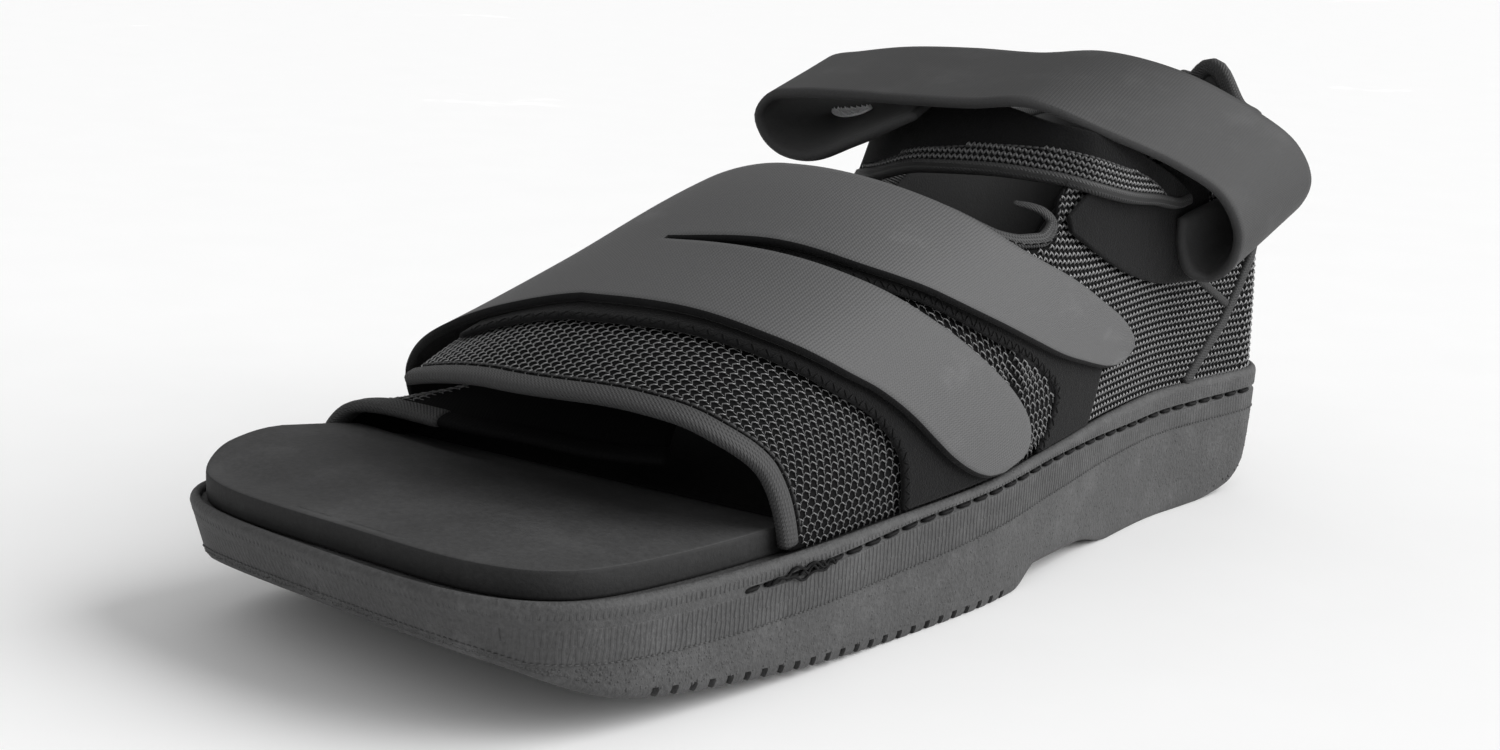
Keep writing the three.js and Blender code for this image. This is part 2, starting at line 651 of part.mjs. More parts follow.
// The footbed reaches further and lies higher along the inner side of the toe
function makeInsole(loop) {
  const { smoothstep } = THREE.MathUtils;
  const inner = (x) => 1 - smoothstep(x, INSOLE.innerTo, INSOLE.innerFrom);
  const reach = smoothColumn(INSOLE_INNER, 's', 'reach');
  const lift = smoothColumn(INSOLE_INNER, 's', 'lift');
  const slack = (s) => INSOLE.slack + INSOLE.heelSlack * smoothstep(s, LENGTH - 2 * HEEL_ROUND, HEEL_S);
  const edge = (inset) => (s, x) => formColumn.welt(s) + slack(s) - reach(s) * inner(x) + inset;
  const foot = (s) => soleLedge(s) + GAP;
  const top = (s, x) => foot(s) + INSOLE.thickness + lift(s) * inner(x);
  addPiece('insole', ringSolid(loop, [
    ...INSOLE_FOOT.map(({ inset, over }) => ({ inset: edge(inset), height: (s) => foot(s) + over })),
    ...INSOLE_TOP.map(({ inset, below }) => ({ inset: edge(inset), height: (s, x) => top(s, x) - below })),
  ]), FOAM);
}

// Layers over the foot form: the outer flap climbs over the inner one on its way to the crown
function lapLift(angle) {
  return LAP_LIFT * THREE.MathUtils.smoothstep(angle, LAP.from, LAP.to);
}

// The strap drops back to the inner flap once the outer flap and its panels have ended
function strapDrop(angle) {
  return (LAP_LIFT + PANEL + GAP) * THREE.MathUtils.smoothstep(angle, STRAP_DROP.from, STRAP_DROP.to);
}

const FLAP_OUT = CLOTH;
const PANEL_IN = FLAP_OUT + GAP;
const STRAP_IN = PANEL_IN + PANEL + GAP + LAYER_EASE;

function nearFlapAngle(t, across) {
  const turn = THREE.MathUtils.lerp(NEAR_FLAP_END.frontTurn, NEAR_FLAP_END.rearTurn, across);
  const first = NEAR_FLAP[0].angle;
  return first + (NEAR_FLAP.at(-1).angle + turn - first) * t;
}

function makeForefootFlaps() {
  const front = smoothColumn(NEAR_FLAP, 'angle', 'front');
  const rear = smoothColumn(NEAR_FLAP, 'angle', 'rear');
  const { along, across: columns } = FACETS.nearFlap;
  const layer = (offset) => steps(along, 0, 1).map((t) => steps(columns, 0, 1).map((across) => {
    const angle = nearFlapAngle(t, across);
    const start = front(angle) + BINDING.width + SEAM_GAP;
    return onForm(start + (rear(angle) - start) * across, angle, lapLift(angle) + offset);
  }));
  addPiece('vamp_flap_near', shell(layer(CLOTH), layer(0)), MESH_CLOTH);
  const edge = steps(FACETS.nearBinding, BINDING_ENDS.near, NEAR_FLAP.at(-1).angle);
  makeFlapBinding('vamp_binding_near', edge.map((angle) =>
    ({ s: front(angle) + BINDING.width / 2, angle, offset: lapLift(angle) + CLOTH / 2 })));

  const farFront = smoothColumn(FAR_FLAP, 'angle', 'front');
  const farRear = smoothColumn(FAR_FLAP, 'angle', 'rear');
  const farAngles = [FAR_FLAP[0].angle, FAR_FLAP.at(-1).angle];
  const farLayer = (offset) => steps(FACETS.farFlap.along, ...farAngles).map((angle) => {
    const start = farFront(angle) + BINDING.width + SEAM_GAP;
    return steps(FACETS.farFlap.across, start, farRear(angle)).map((s) => onForm(s, angle, offset, true));
  });
  addPiece('vamp_flap_far', shell(farLayer(CLOTH), farLayer(0)), MESH_CLOTH);
  const farEdge = steps(FACETS.farBinding, FAR_FLAP[0].angle, BINDING_ENDS.far);
  makeFlapBinding('vamp_binding_far', farEdge.map((angle) =>
    ({ s: farFront(angle) + BINDING.width / 2, angle, offset: CLOTH / 2, sagging: true })),
  BINDING.innerThickness);
}

function makeFlapBinding(name, path, thickness = BINDING.thickness) {
  const points = path.map(({ s, angle, offset, sagging }) => onForm(s, angle, offset, sagging));
  const normals = path.map(({ s, angle, sagging }) => formNormal(s, angle, sagging));
  addPiece(name, bar(pathFrames(points, normals, 1), tapeSection(BINDING.width, thickness)), TAPE);
}

// Rows across a strap or panel, as grids of points at an offset from the foot form
function bandGrid(rows, columns, offset, offsetAt) {
  return rows.map((row) => steps(columns, 0, 1).map((t) => {
    const s = THREE.MathUtils.lerp(row.frontS, row.rearS, t);
    const angle = THREE.MathUtils.lerp(row.frontAngle, row.rearAngle, t);
    return onForm(s, angle, offset + offsetAt(angle));
  }));
}

function makeLoopPanels() {
  for (const [name, rows] of [['loop_panel_front', FRONT_PANEL], ['loop_panel_rear', REAR_PANEL]]) {
    const fine = refine(rows, 2);
    const layer = (offset) => bandGrid(fine, FACETS.strap, offset, lapLift);
    addPiece(name, shell(layer(PANEL_IN + PANEL), layer(PANEL_IN)), VELOUR);
  }
}

function makeForefootStrap() {
  const columns = FACETS.strap;
  const body = refine(STRAP_BODY, 3);
  const front = refine(FRONT_FINGER, 2).slice(1);
  const rear = refine(REAR_FINGER, 2).slice(1);
  const slit = FRONT_FINGER[0].rearS;
  const across = (STRAP_BODY.at(-1).rearS - STRAP_BODY.at(-1).frontS);
  const slitStart = (slit - STRAP_BODY.at(-1).frontS) / across;
  const slitEnd = (REAR_FINGER[0].frontS - STRAP_BODY.at(-1).frontS) / across;
  const shares = [...steps(columns, 0, slitStart), ...steps(columns, slitEnd, 1)];
  const place = (row, t, offset) => {
    const angle = THREE.MathUtils.lerp(row.frontAngle, row.rearAngle, t);
    const s = THREE.MathUtils.lerp(row.frontS, row.rearS, t);
    return onForm(s, angle, offset + lapLift(angle) - strapDrop(angle));
  };
  const layer = (offset) => [
    ...body.map((row) => shares.map((t) => place(row, t, offset))),
    ...front.map((row, k) => [
      ...steps(columns, 0, 1).map((t) => place(row, t, offset)),
      ...steps(columns, 0, 1).map((t) => place(rear[k], t, offset)),
    ]),
  ];
  const slitRow = body.length - 1;
  const present = (r, c) => r < slitRow || c !== columns;
  addPiece('forefoot_strap', shell(layer(STRAP_IN + STRAP), layer(STRAP_IN), present), SMOOTH_STRAP);
}

// Rear foot: two mesh side walls, the ribbed heel counter, their seams and the collar's binding
const outerCollar = smoothColumn(OUTER_COLLAR, 'girth', 'z');
const innerCollar = smoothColumn(INNER_COLLAR, 'girth', 'z');
const collarHeight = (girth) =>
  (girth < WALL_MIRROR / 2 ? outerCollar(girth) : innerCollar(WALL_MIRROR - girth));
const heelSeam = smoothColumn(HEEL_SEAM, 'z', 'girth');
const nearFlapRear = smoothColumn(NEAR_FLAP, 'angle', 'rear');

function wallBase(girth) {
  return soleRim(Math.min(girth, WALL_MIRROR - girth, HEEL_S)) + GAP;
}

// Front edge of the side wall: it follows the rear edge of the forefoot flap up from the welt
function wallFront(share) {
  return nearFlapRear(WALL_FRONT.angle * share) + WALL_FRONT.gap + WALL_FRONT.slant * share;
}

function wallHeight(girth, share) {
  return THREE.MathUtils.lerp(wallBase(girth), collarHeight(girth), share);
}

// Half the piping and a gap, taken along the girth where the seam runs at a slant
function seamClear(z) {
  const slant = (heelSeam(z + 1) - heelSeam(z - 1)) / 2;
  return (PIPING / 2 + SEAM_GAP) * Math.hypot(1, slant);
}

// Girth at one side of the heel seam or along it, found in a few passes since height depends on girth
function seamGirth(share, side, mirrored) {
  const place = (girth) => (mirrored ? WALL_MIRROR - girth : girth);
  let girth = HEEL_S;
  for (let pass = 0; pass < SEAM_PASSES; pass += 1) {
    const z = wallHeight(place(girth), share);
    girth = heelSeam(z) + side * seamClear(z);
  }
  return place(girth);
}

function makeSideWall(name, mirrored) {
  const { along, up } = FACETS.sideWall;
  const layer = (offset) => steps(along, 0, 1).map((t) => steps(up, 0, 1).map((share) => {
    const front = mirrored ? WALL_MIRROR - wallFront(share) : wallFront(share);
    const girth = THREE.MathUtils.lerp(front, seamGirth(share, -1, mirrored), t);
    return onWall(girth, wallHeight(girth, share), offset);
  }));
  addPiece(name, shell(layer(CLOTH), layer(0)), MESH_CLOTH);
}

function makeHeelCounter() {
  const { along, up } = FACETS.counter;
  const layer = (offset) => steps(along, 0, 1).map((t) => steps(up, 0, 1).map((share) => {
    const girth = THREE.MathUtils.lerp(seamGirth(share, 1, false), seamGirth(share, 1, true), t);
    return onWall(girth, wallHeight(girth, share), offset);
  }));
  addPiece('heel_counter', shell(layer(CLOTH), layer(0)), MESH_CLOTH);
}

function makeHeelPiping(name, mirrored) {
  const path = steps(FACETS.piping, PIPING_ENDS.low, PIPING_ENDS.high).map((share) => {
    const girth = seamGirth(share, 0, mirrored);
    return { girth, z: wallHeight(girth, share) };
  });
  const points = path.map(({ girth, z }) => onWall(girth, z, CLOTH / 2 + PIPING_PROUD));
  const normals = path.map(({ girth, z }) => wallNormal(girth, z));
  addPiece(name, bar(pathFrames(points, normals, 1), tapeSection(PIPING, PIPING)), TAPE);
}

function makeCollarBinding() {
  const rise = COLLAR.width / 2 + SEAM_GAP;
  const path = steps(FACETS.collar, COLLAR.start, WALL_MIRROR - COLLAR.start).map((girth) => {
    const slope = (collarHeight(girth + 1) - collarHeight(girth - 1)) / 2;
    const long = Math.hypot(1, slope);
    return { girth: girth - (rise * slope) / long, z: collarHeight(girth) + rise / long };
  });
  const points = path.map(({ girth, z }) => onWall(girth, z, CLOTH / 2));
  const normals = path.map(({ girth, z }) => wallNormal(girth, z));
  addPiece('collar_binding', bar(pathFrames(points, normals, 1),
    tapeSection(COLLAR.width, COLLAR.thickness)), TAPE);
}

function makeQuarterPanel() {
  const rows = refine(QUARTER_PANEL, 2);
  const layer = (offset) => rows.map(({ girth, low, top }) =>
    steps(FACETS.strap, low, top).map((z) => onWall(girth, z, offset)));
  addPiece('quarter_panel', shell(layer(PANEL_IN + PANEL), layer(PANEL_IN)), VELOUR);
}

// Offsets a grid of points along its own normals
function gridLayer(grid, offset) {
  const rows = grid.length - 1;
  const columns = grid[0].length - 1;
  return grid.map((line, r) => line.map((point, c) => {
    const alongRow = grid[Math.min(r + 1, rows)][c].clone().sub(grid[Math.max(r - 1, 0)][c]);
    const alongColumn = line[Math.min(c + 1, columns)].clone().sub(line[Math.max(c - 1, 0)]);
    return point.clone().addScaledVector(alongRow.cross(alongColumn).normalize(), offset);
  }));
}

function makeAnkleFlap() {
  const rows = refine(ANKLE_FLAP, 3);
  const at = (row, z) => {
    const inward = new THREE.Vector2(ANKLE_AXIS.x - row.x, ANKLE_AXIS.s - row.s).normalize();
    const by = row.lean * (z - row.low);
    return new THREE.Vector3(row.x + inward.x * by, toY(row.s + inward.y * by), z);
  };
  const grid = rows.map((row) =>
    steps(FACETS.ankleFlap, row.low + ANKLE_BINDING.width + SEAM_GAP, row.top).map((z) => at(row, z)));
  addPiece('ankle_flap', shell(gridLayer(grid, CLOTH / 2), gridLayer(grid, -CLOTH / 2)), MESH_CLOTH);
  const points = rows.map((row) => at(row, row.low + ANKLE_BINDING.width / 2));
  const normals = rows.map((row) => at(row, row.low + 1).sub(at(row, row.low)));
  addPiece('ankle_flap_binding', bar(pathFrames(points, normals, 1),
    tapeSection(ANKLE_BINDING.thickness, ANKLE_BINDING.width)), TAPE);
}

function makeAnkleStrap() {
  const columns = FACETS.ankleStrap;
  const lift = STRAP_IN + ANKLE_STRAP / 2;
  const sewn = ANKLE_STRAP_SEWN.map((row) => steps(columns, 0, 1).map((t) => onWall(
    THREE.MathUtils.lerp(row.frontGirth, row.rearGirth, t),
    THREE.MathUtils.lerp(row.frontZ, row.rearZ, t),
    lift)));
  const free = refine(ANKLE_STRAP_FREE, 2).map(({ x, s, z, turn, tilt }) => {
    const level = Math.cos(THREE.MathUtils.degToRad(tilt));
    const reach = new THREE.Vector3(
      level * Math.cos(THREE.MathUtils.degToRad(turn)),
      level * Math.sin(THREE.MathUtils.degToRad(turn)),
      Math.sin(THREE.MathUtils.degToRad(tilt)));
    return steps(columns, 0, STRAP_WIDTH).map((across) =>
      new THREE.Vector3(x, toY(s), z).addScaledVector(reach, across));
  });
  const bend = free.at(-1);
  const tip = ANKLE_STRAP_TIP.map(({ drop, inward, frontCut, rearCut }) =>
    steps(columns, frontCut, 1 - rearCut).map((share) =>
      bend[0].clone().lerp(bend[columns], share).add(new THREE.Vector3(inward, 0, -drop))));
  const grid = [...sewn, ...free, ...tip];
  addPiece('ankle_strap', shell(gridLayer(grid, ANKLE_STRAP / 2), gridLayer(grid, -ANKLE_STRAP / 2)),
    ANKLE_CLOTH);
}

const loop = outlineLoop();
makeOutsole(loop);
makeInsole(loop);
makeForefootFlaps();
makeLoopPanels();
makeForefootStrap();
makeSideWall('quarter_near', false);
makeSideWall('quarter_far', true);
makeHeelCounter();
makeHeelPiping('heel_piping_near', false);
makeHeelPiping('heel_piping_far', true);
makeCollarBinding();
makeQuarterPanel();
makeAnkleFlap();
makeAnkleStrap();

export default shoe;
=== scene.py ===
"""Dressed model of an open-toed postoperative shoe.

Shapes are worked out in millimetres on the same foot form and heel wall as the solids: s is the
distance from the toe end of the sole towards the heel, +X is the outer side of the foot.
"""

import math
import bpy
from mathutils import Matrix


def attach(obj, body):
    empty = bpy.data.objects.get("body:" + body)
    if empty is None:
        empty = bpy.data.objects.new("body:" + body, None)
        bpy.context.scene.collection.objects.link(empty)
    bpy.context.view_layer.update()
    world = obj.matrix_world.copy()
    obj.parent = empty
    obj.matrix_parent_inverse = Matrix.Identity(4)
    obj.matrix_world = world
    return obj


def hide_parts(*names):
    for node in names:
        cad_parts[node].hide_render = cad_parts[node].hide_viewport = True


bl_info = {
    "name": "Postoperative Shoe",
    "version": (1, 0, 0),
    "blender": (4, 5, 0),
    "location": "View3D > Sidebar > Shoe",
    "description": "Builds the sole, footbed, mesh, tapes, velour, straps and stitching of the shoe",
    "category": "Object",
}

import bpy
import numpy as np
from bpy.props import FloatProperty, FloatVectorProperty, IntProperty, PointerProperty
from mathutils import Matrix

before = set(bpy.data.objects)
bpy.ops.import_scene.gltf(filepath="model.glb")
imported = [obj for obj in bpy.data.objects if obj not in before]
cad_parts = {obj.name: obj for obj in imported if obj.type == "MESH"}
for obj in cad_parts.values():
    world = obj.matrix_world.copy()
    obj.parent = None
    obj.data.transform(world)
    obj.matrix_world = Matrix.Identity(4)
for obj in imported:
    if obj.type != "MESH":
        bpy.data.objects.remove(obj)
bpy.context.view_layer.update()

MM = 0.001
LENGTH = 285
TOE_ROUND, TOE_POWER = 42, 3.56
HEEL_ROUND, HEEL_POWER = 21.6, 2.44
LEDGE_DROP = 1.5
GAP = 0.3
HEEL_S, HEEL_BACK, HEEL_SQUARE = 262, 20.9, 2.3
HEEL_TURN = HEEL_BACK * math.pi
WALL_MIRROR = 2 * HEEL_S + HEEL_TURN
# How far below the rim the rear wall starts
WALL_FOOT = 0.6
HEEL_LOOP_TALL, HEEL_LOOP_AT, HEEL_LOOP_WIDE = 8, 0.35, 4.6
# Angles between which the two flaps run, and how far they tuck in under their tapes
NEAR_FIRST, NEAR_LAST = 0.4, 116
FAR_FIRST, FAR_LAST = 70, 179.6
FLAP_TUCK = 1.6
FOOTBED_THICK = 5.5
STRAP_WIDTH = 41
ANKLE_STRAP_HALF = 1.1
# How far up the ankle flap the middle of its tape lies, and where its cloth starts
ANKLE_TAPE_UP, ANKLE_CLOTH_UP = 1.6, 1.4
# Heights over the foot form of the cloth, its yarn, the panels and the straps
LAP_LIFT = 2.3
CLOTH_IN, CLOTH_OUT = 0.2, 1.3
CELL_OUT, YARN_OUT = 1.4, 1.45
PANEL_IN, PANEL_OUT = 2.1, 3.3
STRAP_IN, STRAP_OUT = 3.7, 5.6


# ---------------------------------------------------------------- shapes in numbers

def monotone(x, y):
    """Smooth curve through points that never swings past them."""
    step = np.diff(x)
    rise = np.diff(y) / step
    slope = np.zeros(len(x))
    slope[0], slope[-1] = rise[0], rise[-1]
    product = rise[:-1] * rise[1:]
    total = np.where(product > 0, rise[:-1] + rise[1:], 1)
    slope[1:-1] = np.where(product > 0, 2 * product / total, 0)

    def read(at):
        v = np.clip(at, x[0], x[-1])
        i = np.clip(np.searchsorted(x, v) - 1, 0, len(x) - 2)
        t = (v - x[i]) / step[i]
        start = (1 + 2 * t) * (1 - t) ** 2 * y[i] + t * (1 - t) ** 2 * step[i] * slope[i]
        end = t * t * (3 - 2 * t) * y[i + 1] + t * t * (t - 1) * step[i] * slope[i + 1]
        return start + end

    return read


class Table:
    """Rows of numbers under named columns, each column read as a smooth curve along the first one."""

    def __init__(self, names, *rows):
        self.names = names.split()
        self.rows = np.array(rows, float)
        for name in self.names[1:]:
            setattr(self, name, monotone(self.rows[:, 0], self.column(name)))

    def column(self, name):
        return self.rows[:, self.names.index(name)]

    def read(self, share):
        """All columns at a share of the way down the rows."""
        index = np.arange(len(self.rows))
        return [monotone(index, self.column(n))(np.asarray(share) * index[-1]) for n in self.names]


SOLE_WIDTH = Table("s half", (0, 58.3), (34, 58.4), (71, 57.6), (103, 55.3), (134, 53.5), (165, 47.9),
                   (200, 40.2), (234, 35.3), (262, 34.9), (285, 36.2))
SOLE_RIM = Table("s z", (0, 27.4), (57, 25.8), (114, 27), (171, 30.3), (228, 32.4), (285, 32.4))
ROCKER = Table("s z", (0, 15.5), (28.5, 6.6), (57, 3.3), (85, 1.1), (114, 0), (250, 0), (260, 0.9), (270, 3.6),
               (278, 8.4), (285, 15))
DRAFT = Table("s inset", (0, 5.2), (60, 2.4), (235, 2.4), (285, 4.6))
ARCH = Table("s lift", (0, 0), (151, 0), (162, 4), (186, 3.2), (204, 0), (285, 0))
# Footbed along the inner side of the toe: how much further it reaches and higher it lies
INSOLE_INNER = Table("s reach lift", (0, 2.6, 0), (5, 2.6, 0.2), (20, 2.6, 3.6), (33, 2.4, 5), (41, -0.8, 5),
                     (50, -1.2, 4.2), (64, -2, 0), (76, -2.4, 0), (150, 0, 0), (285, 0, 0))
# Foot form: distance in from the sole's edge, height and side shift of the crown, fullness of the sides
FORM = Table(
    "s welt crown shift near far",
    (0, 4.6, 12, 2, 0.75, 1.15), (40, 4.6, 25, 2, 0.75, 1.15), (60, 4.6, 33, 2, 0.78, 1.15),
    (90, 4.6, 43, 0, 0.8, 1.1), (120, 4.5, 53, -2, 0.82, 1.05), (140, 4.5, 57, -3, 0.85, 1),
    (160, 4.4, 63, -3, 0.88, 0.98), (180, 4.2, 80, -1.5, 0.92, 0.97), (200, 4, 110, 0, 0.95, 0.97),
    (220, 3.6, 140, 0, 0.97, 0.97), (240, 3, 155, 0, 1, 1), (262, 2.6, 165, 0, 1, 1))
NEAR_FLAP = Table("angle front rear", (0.4, 69, 150), (20, 65.5, 148), (40, 56, 142), (60, 48.5, 134),
                  (90, 41, 127), (116, 40, 124))
NEAR_REAR_TURN = 34
# Rear edge of the outer flap, which laps over the side wall near the sole
NEAR_REAR = Table("angle s", (0.4, 157), (2.6, 160), (5, 164.5), (8, 166), (12, 163.2), (16, 157.2), (20, 151),
                  (26, 146.8), (40, 142), (60, 134), (90, 127), (116, 124))
FAR_FLAP = Table("angle front rear", (70, 63, 128), (90, 58, 126), (120, 53, 133), (150, 47, 145),
                 (179.6, 44, 150))
FAR_SAG = Table("s share full droop", (0, 0.58, 0.5, 7), (46, 0.6, 0.5, 7), (62, 0.54, 0.62, 5),
                (76, 0.6, 0.92, 2), (100, 0.76, 0.97, 0), (125, 0.88, 1, 0), (150, 0.92, 0.99, 0))
BAND = "front_s front_angle rear_s rear_angle"
STRAP_BODY = Table(BAND, (74, 176.5, 122, 176.5), (66, 155, 123, 155), (60.5, 130, 125, 130),
                   (62.5, 111, 127, 108), (68, 90, 130.3, 90))
FRONT_FINGER = Table(BAND, (68, 90, 92.5, 90), (73.3, 70.5, 98, 72), (79.2, 52.5, 106.5, 52.5),
                     (89.8, 36, 116.7, 38.1), (98.3, 27.3, 125.5, 29.2), (106, 19.3, 133.5, 22),
                     (113, 12, 140.1, 16.1), (118.5, 7.5, 144.6, 11.6), (123.5, 4.7, 147, 8.7),
                     (127.9, 3, 148.2, 6.2), (132.3, 2, 147.6, 3.9), (137, 1.7, 145, 2.5))
REAR_FINGER = Table(BAND, (94, 90, 130.3, 90), (101.3, 74.5, 134, 74.5), (110.5, 54, 141.5, 58.5),
                    (124.3, 39.9, 153, 42.8), (140.3, 29.1, 165.2, 32.7), (155, 20.9, 178, 23), (170, 13.8, 189, 15.8),
                    (181, 9.9, 196, 12.1), (188.5, 7.75, 200.4, 9.75), (194, 6.75, 202.9, 8.1),
                    (198.2, 6.4, 203.2, 7.1))
FRONT_PANEL = Table(BAND, (56, 117, 92.8, 124), (58.9, 108, 92.8, 109), (63.2, 90, 92.9, 90),
                    (70, 68, 99.2, 73), (77.4, 49, 106.9, 53), (87.8, 33, 116.5, 36), (99.2, 20, 129.5, 21.5),
                    (105, 9, 141.5, 11), (105.2, 3.6, 146.4, 3.8), (105.1, 1, 146.6, 1))
REAR_PANEL = Table(BAND, (93.3, 126, 120, 126), (93.3, 109, 123, 109), (93.4, 90, 125.5, 90),
                   (99.7, 73.5, 130, 74.5), (107.5, 53.5, 137, 59), (122, 39.8, 147, 44), (140, 26.5, 163, 30),
                   (157.4, 16, 178, 15.5), (165.8, 8.5, 191, 8.4), (161, 2.9, 186.4, 3), (157, 0.9, 183, 0.9))
HEEL_COLLAR = ((262, 92), (262 + HEEL_TURN / 4, 94), (262 + HEEL_TURN / 2, 100.5))
OUTER_COLLAR = Table("girth z", (141, 79), (150, 77.2), (156, 73.8), (160, 72), (166, 71.1), (172, 71.3), (176, 73),
                     (178.6, 76.5), (180.6, 80.5), (184, 83.6), (190, 86.2), (205, 89), (225, 90.8), *HEEL_COLLAR)
# Front end of the collar's tape, which dips and turns back in over the opening
COLLAR_RING = Table("share girth z out", (0, 147, 80.6, 1), (1, 150, 79.4, 1), (2, 153, 77.6, 1), (3, 156, 75.8, 1),
                    (4, 160, 74.1, 1), (5, 166, 73.1, 1), (6, 171.6, 73.1, 1), (7, 175.6, 74.6, 1),
                    (8, 177.6, 76.8, 0.7), (9, 176.6, 78.8, 0.2), (10, 174.4, 80.5, -0.8), (11, 171.4, 82, -2.2))
INNER_COLLAR = Table("girth z", (141, 67), (170, 67), (187, 68.5), (200, 73.5), (213, 81.5), (228, 89),
                     *HEEL_COLLAR)
HEEL_SEAM = Table("z girth", (20, 226), (32.8, 239), (40.5, 247.6), (45, 253), (50, 257.3), (55.5, 261.4), (61, 264.4),
                  (66, 267), (85, 275.5), (110, 281))
# Velour panel on the outer quarter: girth, and heights of its low and top edges. The panel is real; its front end
# reaches forward over the shade beneath the ankle strap, where its dark velour is painted shade.
QUARTER_PANEL = Table("girth low top", (181, 74, 77), (192.5, 68, 82.8), (208, 62.2, 86), (226, 58.6, 87),
                      (243, 58, 88))
ANKLE_FLAP = Table(
    "x s low top lean", (-36.8, 236, 70, 88, 0.04), (-38.8, 216, 76, 95, 0.05), (-38.8, 203, 77, 96, 0.17),
    (-33.5, 191, 77.8, 98, 0.3), (-18, 177, 80.6, 100, 0.6), (0, 172.5, 84.6, 101, 0.7), (18, 176, 85.4, 100.3, 0.65),
    (31, 183, 84.3, 97.3, 0.4), (36.6, 191, 82, 95.8, 0.26), (38, 203, 79.4, 92.4, 0.2),
    (37.4, 215, 78, 87.6, 0.16), (36.4, 225, 76.4, 83.5, 0.14), (36.1, 230, 77, 80, 0.14))
ANKLE_AXIS_S = 209
# Ankle strap: its sewn rows on the heel wall, as girth and z of the front edge and of the rear edge; its free rows,
# as x, s and z of the front edge and the turn and tilt across; its curled end, as drop, reach inward and end cuts
STRAP_SEWN = ((228, 73.5, 266, 81), (228, 66.5, 267, 74))
STRAP_FREE = (
    (38.6, 228.5, 61.5, 94, 12), (42, 231.5, 60, 96, 16), (47, 232.5, 63.6, 97, 17), (48.6, 233, 70.5, 97, 15),
    (47.4, 227, 80, 97, 14), (43, 214, 87.9, 98, 15), (35, 195, 95.8, 99, 16.5), (24, 180.5, 102.2, 101, 13),
    (12, 174, 101.4, 103, 12.5), (-2, 169, 101.2, 105, 13), (-20, 167.5, 100.9, 107, 12),
    (-34, 167, 100.2, 108, 10), (-42, 166.5, 98.6, 109, 10))
STRAP_TIP = ((4.5, -3.4, 0, 0), (8.8, -1.4, 0, 0), (12, 3.3, 0, 0), (13.1, 10.4, 0, 0.01), (12.2, 16.7, 0, 0.02),
             (8.6, 25.8, 0.01, 0.04), (6.1, 32, 0.02, 0.08), (3.6, 37.5, 0.05, 0.16), (1.9, 42, 0.12, 0.3))
# How far up the ankle flap its mesh reaches, and the height over which mesh rows are laid
ANKLE_LENS = Table("share tall", (0, 1.5), (0.25, 1.5), (0.33, 2.6), (0.42, 4), (0.5, 5.2), (0.58, 6.2), (0.67, 6.8),
                   (0.75, 6.2), (0.8, 4.6), (0.84, 2.2), (0.87, 0), (1, 0))
LENS_TALL = 8


def smooth(value, start, end):
    t = np.clip((np.asarray(value, float) - start) / (end - start), 0, 1)
    return t * t * (3 - 2 * t)


def lerp(a, b, t):
    return a + (b - a) * t


def unit(v):
    return v / np.maximum(np.linalg.norm(v, axis=-1, keepdims=True), 1e-9)


def ledge(s):
    return SOLE_RIM.z(s) - LEDGE_DROP


def tread(s):
    return ROCKER.z(s) + ARCH.lift(s)


def form_point(s, angle, sagging=False):
    """Point on the foot form: angle 0 is the outer welt, 90 the crown and 180 the inner welt."""
    s, angle = np.broadcast_arrays(np.asarray(s, float), np.asarray(angle, float))
    side = np.where(angle > 90, -1.0, 1.0)
    turn = np.radians(np.where(side > 0, angle, 180 - angle))
    full = FAR_SAG.full(s) if sagging else np.where(side > 0, FORM.near(s), FORM.far(s))
    crown = FORM.crown(s) * (FAR_SAG.share(s) if sagging else 1)
    half = SOLE_WIDTH.half(s) - FORM.welt(s)
    shift = FORM.shift(s)
    x = shift + side * (half - side * shift) * np.maximum(np.cos(turn), 0) ** full
    z = ledge(s) + GAP + crown * np.maximum(np.sin(turn), 0) ** full
    if sagging:
        z = z - FAR_SAG.droop(s) * (1 - smooth(angle, 95, 152))
    return np.stack([x, s - LENGTH / 2, z], -1)


def form_normal(s, angle, sagging=False):
    angle = np.asarray(angle, float)
    along = form_point(s + 0.5, angle, sagging) - form_point(s - 0.5, angle, sagging)
    high, low = np.minimum(angle + 0.5, 179.95), np.maximum(angle - 0.5, 0.05)
    return unit(np.cross(along, form_point(s, high, sagging) - form_point(s, low, sagging)))


def on_form(s, angle, offset, sagging=False):
    return form_point(s, angle, sagging) + form_normal(s, angle, sagging) * np.asarray(offset)[..., None]


def wall_station(girth):
    return np.minimum(np.minimum(girth, WALL_MIRROR - girth), HEEL_S)


def wall_point(girth, z):
    """Point on the rear wall: girth runs back on the outer side, round the heel, forward on the inner."""
    girth, z = np.broadcast_arrays(np.asarray(girth, float), np.asarray(z, float))
    around = np.clip((girth - HEEL_S) / HEEL_BACK, 0, math.pi)
    s = wall_station(girth)
    sign = np.where(girth > HEEL_S + HEEL_TURN / 2, -1.0, 1.0)
    full = np.where(sign < 0, FORM.far(s), FORM.near(s))
    rise = np.clip((z - ledge(s) - GAP) / FORM.crown(s), 0, 1)
    lean = np.cos(np.arcsin(rise ** (1 / full))) ** full
    half = SOLE_WIDTH.half(s) - FORM.welt(s)
    shift = FORM.shift(s)
    across = np.abs(np.cos(around) / half) ** HEEL_SQUARE
    back = (np.sin(around) / HEEL_BACK) ** HEEL_SQUARE
    reach = lean / (across + back) ** (1 / HEEL_SQUARE)
    straight = (around <= 0) | (around >= math.pi)
    x = np.where(straight, shift + sign * (half - sign * shift) * lean, reach * np.cos(around))
    y = np.where(straight, s, HEEL_S + reach * np.sin(around)) - LENGTH / 2
    return np.stack([x, y, z], -1)


def wall_normal(girth, z):
    low = np.maximum(z - 0.8, ledge(wall_station(girth)) + GAP)
    along = wall_point(girth + 0.8, z) - wall_point(girth - 0.8, z)
    return unit(np.cross(along, wall_point(girth, z + 0.8) - wall_point(girth, low)))


